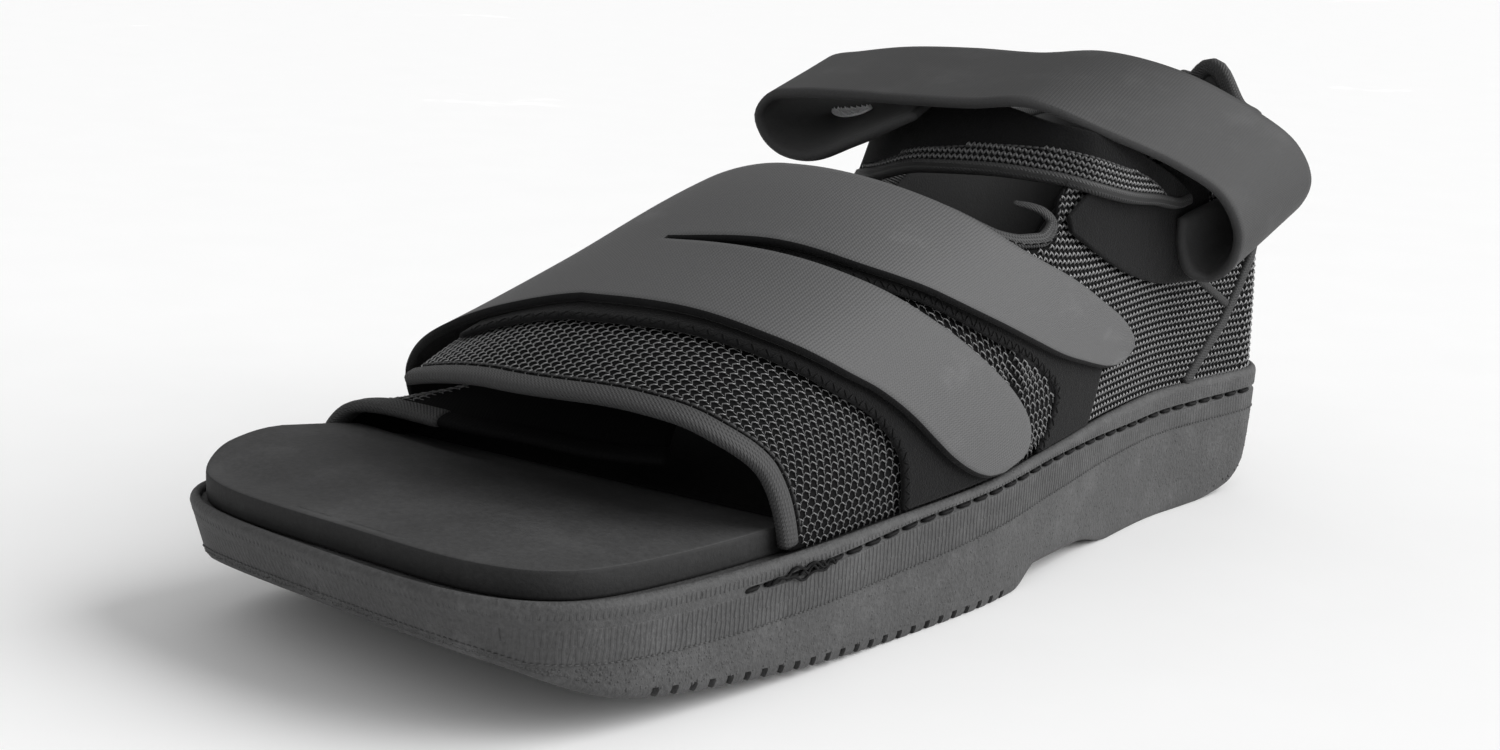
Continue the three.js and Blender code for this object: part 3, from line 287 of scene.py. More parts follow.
def on_wall(girth, z, offset):
    return wall_point(girth, z) + wall_normal(girth, z) * np.asarray(offset)[..., None]


def collar_height(girth):
    """Height of the collar, with the loop at the heel."""
    edge = np.where(girth < WALL_MIRROR / 2, OUTER_COLLAR.z(girth), INNER_COLLAR.z(WALL_MIRROR - girth))
    from_loop = girth - HEEL_S - HEEL_LOOP_AT * HEEL_TURN
    return edge + HEEL_LOOP_TALL * np.exp(-((from_loop / HEEL_LOOP_WIDE) ** 2))


def wall_height(girth, share):
    return lerp(SOLE_RIM.z(wall_station(girth)) - WALL_FOOT, collar_height(girth), share)


def seam_girth(share, shift, mirrored):
    """Girth of the seam between side wall and heel counter, in a few passes as its height depends on it."""
    place = (lambda g: WALL_MIRROR - g) if mirrored else (lambda g: g)
    girth = np.full(np.shape(share), float(HEEL_S))
    for _ in range(6):
        girth = HEEL_SEAM.girth(wall_height(place(girth), share)) + shift
    return place(girth)


def lap_lift(angle):
    """The outer flap climbs over the inner one on its way to the crown."""
    return LAP_LIFT * smooth(angle, 15, 50)


def strap_drop(angle):
    """The strap comes back down once the outer flap and its panels have ended."""
    return 3.6 * smooth(angle, 152, 168)


# Surfaces, each as a function of two shares and an offset

def near_flap(t, k, offset):
    angle = NEAR_FIRST + (NEAR_LAST + NEAR_REAR_TURN * k - NEAR_FIRST) * t
    s = lerp(NEAR_FLAP.front(angle) + FLAP_TUCK, NEAR_REAR.s(angle), k)
    over_wall = CLOTH_OUT * smooth(s, 146, 151) * smooth(angle, NEAR_FIRST, 3)
    return on_form(s, angle, lap_lift(angle) + over_wall + offset)


def far_flap(t, k, offset):
    angle = lerp(FAR_FIRST, FAR_LAST, t)
    start = FAR_FLAP.front(angle) + FLAP_TUCK
    return on_form(lerp(start, FAR_FLAP.rear(angle), k), angle, offset, True)


def band(table):
    def place(t, k, offset):
        front_s, front_angle, rear_s, rear_angle = table.read(t)
        angle = lerp(front_angle, rear_angle, k)
        return on_form(lerp(front_s, rear_s, k), angle, offset + lap_lift(angle) - strap_drop(angle))
    return place


def side_wall(mirrored):
    def place(t, k, offset):
        front = NEAR_FLAP.rear(45 * k) + 0.7 + 1.5 * k
        front = WALL_MIRROR - front if mirrored else front
        girth = lerp(front, seam_girth(k, -0.4, mirrored), t)
        return on_wall(girth, wall_height(girth, k), offset)
    return place


def heel_counter(t, k, offset):
    girth = lerp(seam_girth(k, 0.4, False), seam_girth(k, 0.4, True), t)
    return on_wall(girth, wall_height(girth, k), offset)


def rear_rows(first, last, tall):
    """Rows level with the sole's rim, for the mesh of the rear foot."""
    def place(t, k, offset):
        girth = lerp(first, last, k)
        return on_wall(girth, rear_row_height(girth, tall * t), offset)
    return place


def rear_row_height(girth, over):
    return SOLE_RIM.z(wall_station(girth)) - WALL_FOOT + over


def quarter_panel(t, k, offset):
    girth, low, top = QUARTER_PANEL.read(t)
    return on_wall(girth, lerp(low, top, k), offset)


def ankle_point(t, z_over):
    x, s, low, _, lean = ANKLE_FLAP.read(t)
    inward = unit(np.stack([-x, ANKLE_AXIS_S - s], -1))
    by = lean * z_over
    return np.stack([x + inward[..., 0] * by, s + inward[..., 1] * by - LENGTH / 2, low + z_over], -1)


def ankle_flap(t, k, offset):
    def mid(t, k):
        _, _, low, top, _ = ANKLE_FLAP.read(t)
        return ankle_point(t, lerp(ANKLE_CLOTH_UP, top - low, k))
    e = 0.004
    along = mid(np.minimum(t + e, 1), k) - mid(np.maximum(t - e, 0), k)
    up = mid(t, np.minimum(k + e, 1)) - mid(t, np.maximum(k - e, 0))
    return mid(t, k) + unit(np.cross(along, up)) * np.asarray(offset)[..., None]


def cloth_tall(t):
    """Height of the ankle flap along its length."""
    _, _, low, top, _ = ANKLE_FLAP.read(t)
    return top - low


def ankle_share(k):
    """Share of the ankle flap's rows at an even share of its length."""
    fine = np.linspace(0, 1, 200)
    step = np.linalg.norm(np.diff(ankle_point(fine, ANKLE_TAPE_UP), axis=0), axis=-1)
    length = np.concatenate([[0], np.cumsum(step)])
    return np.interp(k * length[-1], length, fine)


def ankle_rows(t, k, offset):
    """Rows level with the lower edge of the ankle flap, for its mesh."""
    k = ankle_share(k)
    return ankle_flap(k, np.minimum(LENS_TALL * t / (cloth_tall(k) - ANKLE_CLOTH_UP), 1), offset)


def ankle_strap_rows(columns):
    """Middle surface of the ankle strap, row by row from its sewn end to its curled tip."""
    k = np.linspace(0, 1, columns + 1)
    rows = [on_wall(lerp(a, c, k), lerp(b, d, k), STRAP_IN + ANKLE_STRAP_HALF) for a, b, c, d in STRAP_SEWN]
    for x, s, z, turn, tilt in STRAP_FREE:
        level, a = math.cos(math.radians(tilt)), math.radians(turn)
        reach = np.array([level * math.cos(a), level * math.sin(a), math.sin(math.radians(tilt))])
        rows.append(np.array([x, s - LENGTH / 2, z]) + reach * (k * STRAP_WIDTH)[:, None])
    bend = rows[-1]
    for drop, inward, front_cut, rear_cut in STRAP_TIP:
        share = lerp(front_cut, 1 - rear_cut, k)[:, None]
        fall = np.stack([inward + 0 * k, 0 * k, -drop * (1 - 0.42 * k)], -1)
        rows.append(lerp(bend[0], bend[-1], share) + fall)
    return np.array(rows)


def smooth_rows(rows, count):
    """Rows spaced evenly along a smooth curve through the given ones."""
    step = np.linalg.norm(np.diff(rows, axis=0), axis=-1).mean(-1)
    along = np.concatenate([[0], np.cumsum(np.sqrt(step))])
    ahead = np.gradient(rows, along, axis=0)
    at = np.linspace(0, along[-1], 1200)
    i = np.clip(np.searchsorted(along, at) - 1, 0, len(along) - 2)
    h = (along[i + 1] - along[i])[:, None, None]
    t = ((at - along[i])[:, None, None]) / h
    dense = ((1 + 2 * t) * (1 - t) ** 2 * rows[i] + t * (1 - t) ** 2 * h * ahead[i]
             + t * t * (3 - 2 * t) * rows[i + 1] + t * t * (t - 1) * h * ahead[i + 1])
    length = np.concatenate([[0], np.cumsum(np.linalg.norm(np.diff(dense, axis=0), axis=-1).mean(-1))])
    pick = np.interp(np.linspace(0, length[-1], count + 1), length, np.arange(len(dense)))
    low = np.minimum(pick.astype(int), len(dense) - 2)
    return lerp(dense[low], dense[low + 1], (pick - low)[:, None, None])


def grid_normals(grid):
    return unit(np.cross(np.gradient(grid, axis=0), np.gradient(grid, axis=1)))


def shares(rows, columns):
    return np.meshgrid(np.linspace(0, 1, rows + 1), np.linspace(0, 1, columns + 1), indexing="ij")


def dents(x, y, seed, size):
    """Shallow even unevenness from a few seeded waves, about -1 to 1."""
    random = np.random.default_rng(seed)
    total = 0
    for _ in range(7):
        turn, phase, stretch = random.uniform(0, 2 * math.pi, 2).tolist() + [random.uniform(0.6, 1.6)]
        total = total + np.sin((x * math.cos(turn) + y * math.sin(turn)) * 2 * math.pi / (size * stretch) + phase)
    return total / 4


# ---------------------------------------------------------------- meshes

def new_object(name, points, faces, materials, slots=None, cloth=None, sharp=50):
    """A mesh object in metres from points in millimetres, its faces turned outwards."""
    points = np.asarray(points, float)
    volume = sum(np.dot(points[f[0]], np.cross(points[f[i]], points[f[i + 1]]))
                 for f in faces for i in range(1, len(f) - 1))
    if volume < 0:
        faces = [f[::-1] for f in faces]
    mesh = bpy.data.meshes.new(name)
    mesh.from_pydata((points * MM).tolist(), [], faces)
    for material in materials:
        mesh.materials.append(material)
    if slots is not None:
        mesh.polygons.foreach_set("material_index", slots)
    if cloth is not None:
        layer = mesh.attributes.new("cloth_mm", "FLOAT_VECTOR", "POINT")
        layer.data.foreach_set("vector", np.asarray(cloth, np.float32).ravel())
    mesh.shade_smooth()
    if sharp:
        mesh.set_sharp_from_angle(angle=math.radians(sharp))
    made = bpy.data.objects.new(name, mesh)
    bpy.context.scene.collection.objects.link(made)
    return made


def finish_piece(piece, slot, *nodes):
    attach(piece, "root")
    if nodes:
        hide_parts(*nodes)
    return piece


def cloth_lengths(grid):
    """Distances in millimetres along both ways of a grid, as the cloth lies flat."""
    along = np.zeros(grid.shape[:2])
    across = np.zeros(grid.shape[:2])
    along[1:] = np.cumsum(np.linalg.norm(np.diff(grid, axis=0), axis=-1), axis=0)
    across[:, 1:] = np.cumsum(np.linalg.norm(np.diff(grid, axis=1), axis=-1), axis=1)
    return np.stack([along, across, np.zeros_like(along)], -1)


def shell(name, outer, inner, materials, present=None, bulge=0.35):
    """Closed cloth between two grids, with a rounded rim; slots are the face, the back and the rim."""
    rows, columns = outer.shape[0] - 1, outer.shape[1] - 1
    present = np.ones((rows, columns), bool) if present is None else present
    index = np.arange(outer.shape[0] * outer.shape[1]).reshape(outer.shape[:2])
    back = index.size
    points = np.concatenate([outer.reshape(-1, 3), inner.reshape(-1, 3)])
    faces, slots, push, rim = [], [], {}, []
    for r in range(rows):
        for c in range(columns):
            if not present[r, c]:
                continue
            ring = [(r, c), (r + 1, c), (r + 1, c + 1), (r, c + 1)]
            corner = [int(index[p]) for p in ring]
            faces += [corner, [i + back for i in reversed(corner)]]
            slots += [0, 1]
            middle = points[corner].mean(0)
            for side, (i, j) in enumerate([(r, c - 1), (r + 1, c), (r, c + 1), (r - 1, c)]):
                if 0 <= i < rows and 0 <= j < columns and present[i, j]:
                    continue
                a, b = corner[side], corner[(side + 1) % 4]
                rim.append((a, b))
                away = (points[a] + points[b]) / 2 - middle
                edge = points[b] - points[a]
                away = away - edge * np.dot(away, edge) / max(np.dot(edge, edge), 1e-9)
                for p in (a, b):
                    push[p] = push.get(p, 0) + away / max(np.linalg.norm(away), 1e-9)
    cloth = cloth_lengths((outer + inner) / 2).reshape(-1, 3)
    cloth = np.concatenate([cloth, cloth])
    if push:
        edge_ids = list(push)
        thick = np.linalg.norm(points[edge_ids] - points[[p + back for p in edge_ids]], axis=-1)
        out = unit(np.array([push[p] for p in edge_ids])) * (bulge * thick)[:, None]
        middles = (points[edge_ids] + points[[p + back for p in edge_ids]]) / 2 + out
        where = {p: len(points) + n for n, p in enumerate(edge_ids)}
        points = np.concatenate([points, middles])
        cloth = np.concatenate([cloth, cloth[edge_ids]])
        for a, b in rim:
            faces += [[b, a, where[a], where[b]], [where[b], where[a], a + back, b + back]]
            slots += [2, 2]
    return new_object(name, points, faces, materials, slots, cloth, sharp=0)


def declare_cloth(grid, present=None):
    """Works out the area and the size the cloth was cut to, from the lengths along its middle surface, and keeps
    neither.
    """
    a, b, c, d = grid[:-1, :-1], grid[1:, :-1], grid[1:, 1:], grid[:-1, 1:]
    cell = (np.linalg.norm(np.cross(b - a, c - a), axis=-1) + np.linalg.norm(np.cross(c - a, d - a), axis=-1)) / 2
    area = float(cell.sum() if present is None else cell[present].sum()) * MM ** 2
    lengths = cloth_lengths(grid)
    size = [float(lengths[..., 1].max()) * MM, float(lengths[..., 0].max()) * MM]
    if area > size[0] * size[1]:
        size[0] = 1.01 * area / size[1]


def cloth_piece(name, place, rows, columns, low, high, materials, slot, nodes=None):
    t, k = shares(rows, columns)
    outer, inner = place(t, k, high), place(t, k, low)
    piece = shell(name, outer, inner, materials)
    finish_piece(piece, slot, *([name] if nodes is None else nodes))
    declare_cloth((outer + inner) / 2)
    return piece


def tape_bar(name, points, normals, width, thickness, materials, sides=14, taper=0):
    """A folded tape or a cord along a path: a rounded section with closed, softened ends.

    taper is the number of points over which the last end narrows.
    """
    along = unit(np.gradient(points, axis=0))
    up = unit(normals - along * np.sum(normals * along, -1, keepdims=True))
    across = np.cross(along, up)
    turn = np.linspace(0, 2 * math.pi, sides, endpoint=False)
    power = 2 / 3
    a = np.sign(np.cos(turn)) * np.abs(np.cos(turn)) ** power * width / 2
    b = np.sign(np.sin(turn)) * np.abs(np.sin(turn)) ** power * thickness / 2
    length = np.concatenate([[0], np.cumsum(np.linalg.norm(np.diff(points, axis=0), axis=-1))])
    rings, cloth = [], []
    full = np.ones(len(points))
    if taper:
        full[-taper:] = np.linspace(1, 0.4, taper)
    ends = [(0, -0.28, 0.55), (0, -0.14, 0.86), *((i, 0, full[i]) for i in range(len(points))),
            (-1, 0.14, 0.86 * full[-1]), (-1, 0.28, 0.55 * full[-1])]
    around = np.concatenate([[0], np.cumsum(np.hypot(np.diff(a), np.diff(b)))])
    for i, ahead, size in ends:
        middle = points[i] + along[i] * ahead * thickness
        rings.append(middle + size * (a[:, None] * across[i] + b[:, None] * up[i]))
        cloth.append(np.stack([np.full(sides, length[i] + ahead * thickness), around, np.zeros(sides)], -1))
    count = len(rings)
    faces = [[r * sides + i, r * sides + (i + 1) % sides, (r + 1) * sides + (i + 1) % sides, (r + 1) * sides + i]
             for r in range(count - 1) for i in range(sides)]
    faces += [list(range(sides))[::-1], [(count - 1) * sides + i for i in range(sides)]]
    return new_object(name, np.concatenate(rings), faces, materials, None, np.concatenate(cloth), sharp=0)


def end_rounding(distance, radius, power):
    t = np.clip(1 - distance / radius, 0, 1)
    return np.maximum(1 - t ** power, 0) ** (1 / power)


def sole_half(s):
    return (SOLE_WIDTH.half(s) * end_rounding(s, TOE_ROUND, TOE_POWER)
            * end_rounding(LENGTH - s, HEEL_ROUND, HEEL_POWER))


def outline(extra=(), toe=64, side=190, heel=44):
    """Closed loop of stations and half widths round the sole: outer side first, then back on the inner."""
    turn = np.pi / 2 * np.linspace(0, 1, toe) ** 1.5
    stations = [TOE_ROUND * (1 - np.cos(turn) ** (2 / TOE_POWER)), np.linspace(TOE_ROUND, LENGTH - HEEL_ROUND, side)]
    turn = np.pi / 2 * np.linspace(0, 1, heel) ** 1.3
    stations += [LENGTH - HEEL_ROUND * (1 - np.cos(turn) ** (2 / HEEL_POWER)), np.asarray(extra, float)]
    s = np.unique(np.round(np.concatenate(stations), 4))
    x = sole_half(s)
    s, x = np.concatenate([s, s[-2:0:-1]]), np.concatenate([x, -x[-2:0:-1]])
    inward = unit(np.stack([np.roll(s, 1) - np.roll(s, -1), np.roll(x, -1) - np.roll(x, 1)], -1))
    return s, x, inward


def ring_points(loop, inset, height):
    s, x, inward = loop
    return np.stack([x + inward[:, 0] * inset, s - LENGTH / 2 + inward[:, 1] * inset, height + 0 * s], -1)


def ring_solid(name, rings, materials, cross=1, shape_top=None, sharp=40):
    """Stacked rings closed below by straight strips and above by strips that may be shaped."""
    count = len(rings[0])
    half = count // 2
    points = [np.concatenate(rings)]
    total = len(points[0])
    faces = [[k * count + i, k * count + (i + 1) % count, (k + 1) * count + (i + 1) % count, (k + 1) * count + i]
             for k in range(len(rings) - 1) for i in range(count)]
    for base, parts in ((0, 1), ((len(rings) - 1) * count, cross)):
        strips = []
        for k in range(half + 1):
            a, b = base + k, base + (count - k) % count
            ids = [a] * (parts + 1)
            if 0 < k < half:
                t = np.linspace(0, 1, parts + 1)[1:-1, None]
                inner = lerp(points[0][a], points[0][b], t)
                if shape_top is not None and base:
                    inner[:, 2] += shape_top(inner[:, 0], inner[:, 1], t[:, 0])
                ids = [a, *range(total, total + parts - 1), b]
                points.append(inner)
                total += parts - 1
            strips.append(ids)
        for one, two in zip(strips, strips[1:]):
            for j in range(parts):
                ring = list(dict.fromkeys([one[j], two[j], two[j + 1], one[j + 1]]))
                if len(ring) > 2:
                    faces.append(ring if base else ring[::-1])
    return new_object(name, np.concatenate(points), faces, materials, sharp=sharp)


# ---------------------------------------------------------------- repeated shapes

def node(tree, kind, settings=None, sockets=None):
    made = tree.nodes.new(kind)
    for key, value in (settings or {}).items():
        setattr(made, key, value)
    for key, value in (sockets or {}).items():
        if isinstance(value, bpy.types.NodeSocket):
            tree.links.new(value, made.inputs[key])
        else:
            made.inputs[key].default_value = value
    return made


def calc(tree, operation, a, b=0.0, c=0.0):
    return node(tree, "ShaderNodeMath", {"operation": operation}, {0: a, 1: b, 2: c}).outputs[0]


def small_mesh(name, points, faces):
    return new_object(name, points, faces, [], sharp=0)


def bent_bar(path, width, height, start=0):
    """Four-sided bar along a few points in a plane, for yarns and threads; returns points and faces."""
    path = np.asarray(path, float)
    along = unit(np.gradient(path, axis=0))
    across = np.stack([-along[:, 1], along[:, 0], np.zeros(len(path))], -1)
    up = np.cross(along, across)
    points = []
    for p, a, u in zip(path, across, up):
        points += [p + a * width / 2, p + u * height / 2, p - a * width / 2, p - u * height / 2]
    faces = [[start + 4 * r + i, start + 4 * r + (i + 1) % 4, start + 4 * r + 4 + (i + 1) % 4, start + 4 * r + 4 + i]
             for r in range(len(path) - 1) for i in range(4)]
    last = start + 4 * (len(path) - 1)
    faces += [[start + 3, start + 2, start + 1, start], [last, last + 1, last + 2, last + 3]]
    return points, [f[::-1] for f in faces]


def join_bars(name, bars):
    points, faces = [], []
    for path, width, height in bars:
        more, sides = bent_bar(path, width, height, len(points))
        points += more
        faces += sides
    return small_mesh(name, np.array(points), faces)


def knit_cell(width, height, yarn):
    """One stitch of the open mesh: a yarn that waves along its row and a thin leg down to the next row."""
    w, h = width, height
    return join_bars("knit_cell", [
        ([(-0.5 * w, 0, -0.14), (-0.25 * w, 0.26 * h, 0.14), (0.02 * w, 0, 0.28), (0.25 * w, -0.26 * h, 0.14),
          (0.5 * w, 0, -0.14)], yarn, yarn),
        ([(0.25 * w, -0.2 * h, 0.02), (0.25 * w, -0.8 * h, 0.02)], yarn * 0.55, yarn * 0.55),
    ])


def rib_cell(width, height, yarn):
    """One stitch of the ribbed mesh: a chevron whose ends dip under its neighbours."""
    w, h = width / 2, height * 0.34
    return join_bars("rib_cell", [
        ([(-w, -h, -0.24), (-0.5 * w, -0.05 * h, 0.2), (0, h, 0.02), (0.5 * w, -0.05 * h, 0.2),
          (w, -h, -0.24)], yarn, yarn),
    ])


def thread_stitch(length, thread):
    """One stitch of sewing thread, arched so that both ends go down into the cloth."""
    h = length / 2
    return join_bars("thread_stitch", [
        ([(-h, 0, -0.3 * thread), (-0.55 * h, 0, 0.3 * thread), (0.55 * h, 0, 0.3 * thread), (h, 0, -0.3 * thread)],
         thread, thread * 0.8),
    ])


def wall_rib(width, height):
    """A low upright rib, one millimetre tall, stretched to the height of the sole's wall."""
    top = 0.8 * height
    ring = [(-0.5 * width, -0.1), (-0.22 * width, top), (0.22 * width, top), (0.5 * width, -0.1)]
    rows = [(-0.5, 0.1), (-0.42, 1), (0.42, 1), (0.5, 0.1)]
    points = [(x, y, z * k if z > 0 else z) for y, k in rows for x, z in ring]
    faces = [[4 * r + i, 4 * r + (i + 1) % 4, 4 * r + 4 + (i + 1) % 4, 4 * r + 4 + i]
             for r in range(3) for i in range(4)]
    faces += [[3, 2, 1, 0], [12, 13, 14, 15]]
    return small_mesh("wall_rib", np.array(points), [f[::-1] for f in faces])


def nub(width, height):
    """A low six-sided dome."""
    turn = np.linspace(0, 2 * math.pi, 6, endpoint=False)
    ring = np.stack([np.cos(turn) * width / 2, np.sin(turn) * width / 2, np.full(6, -0.1)], -1)
    points = np.concatenate([ring, [(0, 0, height)]])
    return small_mesh("nub", points, [[i, (i + 1) % 6, 6] for i in range(6)] + [[5, 4, 3, 2, 1, 0]])


def named_vector(tree, name):
    read = node(tree, "GeometryNodeInputNamedAttribute", {"data_type": "FLOAT_VECTOR"}, {"Name": name})
    return read.outputs["Attribute"]


def swung(tree, rotation, swing, loose, seed):
    """Turns every other item one way and the rest the other way, with a little seeded slackness."""
    odd = calc(tree, "MODULO", node(tree, "GeometryNodeInputIndex").outputs[0], 2)
    zigzag = calc(tree, "MULTIPLY", calc(tree, "MULTIPLY_ADD", odd, 2, -1), swing)
    random = node(tree, "FunctionNodeRandomValue", {"data_type": "FLOAT"}, {"Seed": seed})
    low, high = [s for s in random.inputs if s.type == "VALUE" and s.enabled][:2]
    low.default_value, high.default_value = -1, 1
    drawn = next(s for s in random.outputs if s.type == "VALUE" and s.enabled)
    slack = calc(tree, "MULTIPLY_ADD", drawn, loose, zigzag)
    about = node(tree, "FunctionNodeAxisAngleToRotation", None, {"Axis": (0, 0, 1), "Angle": slack})
    turned = node(tree, "FunctionNodeRotateRotation", {"rotation_space": "LOCAL"},
                  {"Rotation": rotation, "Rotate By": about.outputs["Rotation"]})
    return turned.outputs["Rotation"]


def repeat_tree(name, along_path):
    """Node tree that sets an item on every point, or at an even pitch along paths, facing out."""
    tree = bpy.data.node_groups.new(name, "GeometryNodeTree")
    for label, kind in (("Geometry", "Geometry"), ("Item", "Object"), ("Finish", "Material"), ("Pitch", "Float"),
                        ("Swing", "Float"), ("Looseness", "Float"), ("Seed", "Int")):
        tree.interface.new_socket(label, in_out="INPUT", socket_type="NodeSocket" + kind)
    tree.interface.new_socket("Geometry", in_out="OUTPUT", socket_type="NodeSocketGeometry")
    enter = node(tree, "NodeGroupInput").outputs
    places = enter["Geometry"]
    if along_path:
        curve = node(tree, "GeometryNodeMeshToCurve", None, {"Mesh": places})
        places = node(tree, "GeometryNodeResampleCurve", {"mode": "LENGTH"},
                      {"Curve": curve.outputs["Curve"], "Length": enter["Pitch"]}).outputs["Curve"]
        lead = node(tree, "GeometryNodeInputTangent").outputs["Tangent"]
    else:
        lead = named_vector(tree, "lead")
    turn = node(tree, "FunctionNodeAxesToRotation", {"primary_axis": "Z", "secondary_axis": "X"},
                {"Primary Axis": named_vector(tree, "facing"), "Secondary Axis": lead})
    rotation = swung(tree, turn.outputs["Rotation"], enter["Swing"], enter["Looseness"], enter["Seed"])
    item = node(tree, "GeometryNodeObjectInfo", None, {"Object": enter["Item"]})
    lay = node(tree, "GeometryNodeInstanceOnPoints", None, {
        "Points": places, "Instance": item.outputs["Geometry"], "Rotation": rotation,
        "Scale": named_vector(tree, "stretch")})
    real = node(tree, "GeometryNodeRealizeInstances", None, {"Geometry": lay.outputs["Instances"]})
    finish = node(tree, "GeometryNodeSetMaterial", None,
                  {"Geometry": real.outputs["Geometry"], "Material": enter["Finish"]})
    node(tree, "NodeGroupOutput", None, {"Geometry": finish.outputs["Geometry"]})
    return tree


def shared_tree(name, along_path):
    return bpy.data.node_groups.get(name) or repeat_tree(name, along_path)


def repeated(name, tree, host, item, material, **inputs):
    """Runs a tree on a host mesh and keeps its result as a plain mesh object."""
    modifier = host.modifiers.new("repeat", "NODES")
    modifier.node_group = tree
    values = {"Item": item, "Finish": material, **inputs}
    for socket in tree.interface.items_tree:
        if socket.in_out == "INPUT" and socket.name in values:
            modifier[socket.identifier] = values[socket.name]
    graph = bpy.context.evaluated_depsgraph_get()
    mesh = bpy.data.meshes.new_from_object(host.evaluated_get(graph))
    mesh.name = name
    host.modifiers.remove(modifier)
    for spare in (host, item):
        data = spare.data
        bpy.data.objects.remove(spare)
        bpy.data.meshes.remove(data)
    for attribute in [a.name for a in mesh.attributes if a.name in ("facing", "lead", "stretch")]:
        mesh.attributes.remove(mesh.attributes[attribute])
    mesh.shade_smooth()
    made = bpy.data.objects.new(name, mesh)
    bpy.context.scene.collection.objects.link(made)
    return made


def host_mesh(points, edges, **vectors):
    mesh = bpy.data.meshes.new("places")
    mesh.from_pydata((np.asarray(points) * MM).tolist(), edges, [])
    for name, values in vectors.items():
        layer = mesh.attributes.new(name, "FLOAT_VECTOR", "POINT")
        layer.data.foreach_set("vector", np.asarray(values, np.float32).ravel())
    made = bpy.data.objects.new("places", mesh)
    bpy.context.scene.collection.objects.link(made)
    return made


def knit(name, place, offset, size, counts, item, material, keep=None, loose=0.06, seed=1):
    """Cells in staggered rows over a surface; counts are rows along the first share and cells across."""
    rows, cells = counts
    fine, lengths = np.linspace(0, 1, 300), {}

    def at(share, k, over=0):
        return place(even(share, k), k, offset + over)

    def even(share, k):
        """Shares along the surface at which the rows lie evenly apart."""
        found, k = np.empty(len(share)), np.round(k, 6)
        for value in np.unique(k):
            if value not in lengths:
                line = place(fine, value + 0 * fine, offset)
                lengths[value] = np.concatenate([[0], np.cumsum(np.linalg.norm(np.diff(line, axis=0), axis=-1))])
            here = k == value
            found[here] = np.interp(share[here] * lengths[value][-1], lengths[value], fine)
        return found

    share = np.repeat((np.arange(rows) + 0.5) / rows, cells)
    k = ((np.arange(cells)[None, :] + 0.25 + 0.5 * (np.arange(rows) % 2)[:, None]) / cells).ravel()
    if keep is not None:
        chosen = keep(even(share, k), k)
        share, k = share[chosen], k[chosen]
    along = at(share + 0.5 / rows, k) - at(share - 0.5 / rows, k)
    ahead, behind = np.minimum(k + 0.5 / cells, 1), np.maximum(k - 0.5 / cells, 0)
    across = (at(share, ahead) - at(share, behind)) / ((ahead - behind) * cells)[:, None]
    points = at(share, k)
    facing = unit(at(share, k, 0.5) - points)
    stretch = np.stack([np.linalg.norm(across, axis=-1) / size[0], np.linalg.norm(along, axis=-1) / size[1],
                        np.ones(len(k))], -1)
    host = host_mesh(points, [], facing=facing, lead=unit(across), stretch=stretch)
    tree = shared_tree("Cells over a surface", False)
    return repeated(name, tree, host, item, material, Looseness=loose, Seed=seed)


def cell_counts(place, offset, size):
    grid = place(*shares(24, 24), offset)
    lengths = cloth_lengths(grid)
    return (max(int(round(lengths[-1, :, 0].mean() / size[1])), 2),
            max(int(round(lengths[:, -1, 1].mean() / size[0])), 2))


def sew(name, paths, item, material, pitch, swing=0, loose=0.05, seed=3):
    """Items at an even pitch along paths, each path with its points, facings and optional stretch."""
    points, facing, stretch, edges, start = [], [], [], [], 0
    for path in paths:
        count = len(path[0])
        points.append(path[0])
        facing.append(path[1])
        stretch.append(path[2] if len(path) > 2 else np.ones((count, 3)))
        edges += [(start + i, start + i + 1) for i in range(count - 1)]
        start += count
    host = host_mesh(np.concatenate(points), edges, facing=np.concatenate(facing), stretch=np.concatenate(stretch))
    tree = shared_tree("Items along a path", True)
    return repeated(name, tree, host, item, material, Pitch=pitch * MM, Swing=math.radians(swing),
                    Looseness=loose, Seed=seed)


# ---------------------------------------------------------------- materials

def shader_group(name, inputs, outputs, build):
    """A shared effect: a node group with float or vector inputs and float outputs, made once."""
    if name in bpy.data.node_groups:
        return bpy.data.node_groups[name]
    tree = bpy.data.node_groups.new(name, "ShaderNodeTree")
    for label, value in inputs.items():
        kind = "NodeSocketVector" if value is None else "NodeSocketFloat"
        socket = tree.interface.new_socket(label, in_out="INPUT", socket_type=kind)
        if value is not None:
            socket.default_value = value
    for label in outputs:
        tree.interface.new_socket(label, in_out="OUTPUT", socket_type="NodeSocketFloat")
    results = build(tree, tree.nodes.new("NodeGroupInput").outputs)
    leave = tree.nodes.new("NodeGroupOutput")
    for label, result in zip(outputs, results):
        tree.links.new(result, leave.inputs[label])
    return tree


def build_grain(tree, enter):
    fine = node(tree, "ShaderNodeTexNoise", None, {
        "Vector": enter["Place"], "Scale": calc(tree, "DIVIDE", 1.0, enter["Size"]), "Detail": 3.0, "Roughness": 0.6})
    coarse = node(tree, "ShaderNodeTexNoise", None, {
        "Vector": enter["Place"], "Scale": calc(tree, "DIVIDE", 0.13, enter["Size"]), "Detail": 2.0})
    height = calc(tree, "MULTIPLY_ADD", coarse.outputs["Fac"], 0.35, calc(tree, "MULTIPLY", fine.outputs["Fac"], 0.65))
    return height, fine.outputs["Fac"]


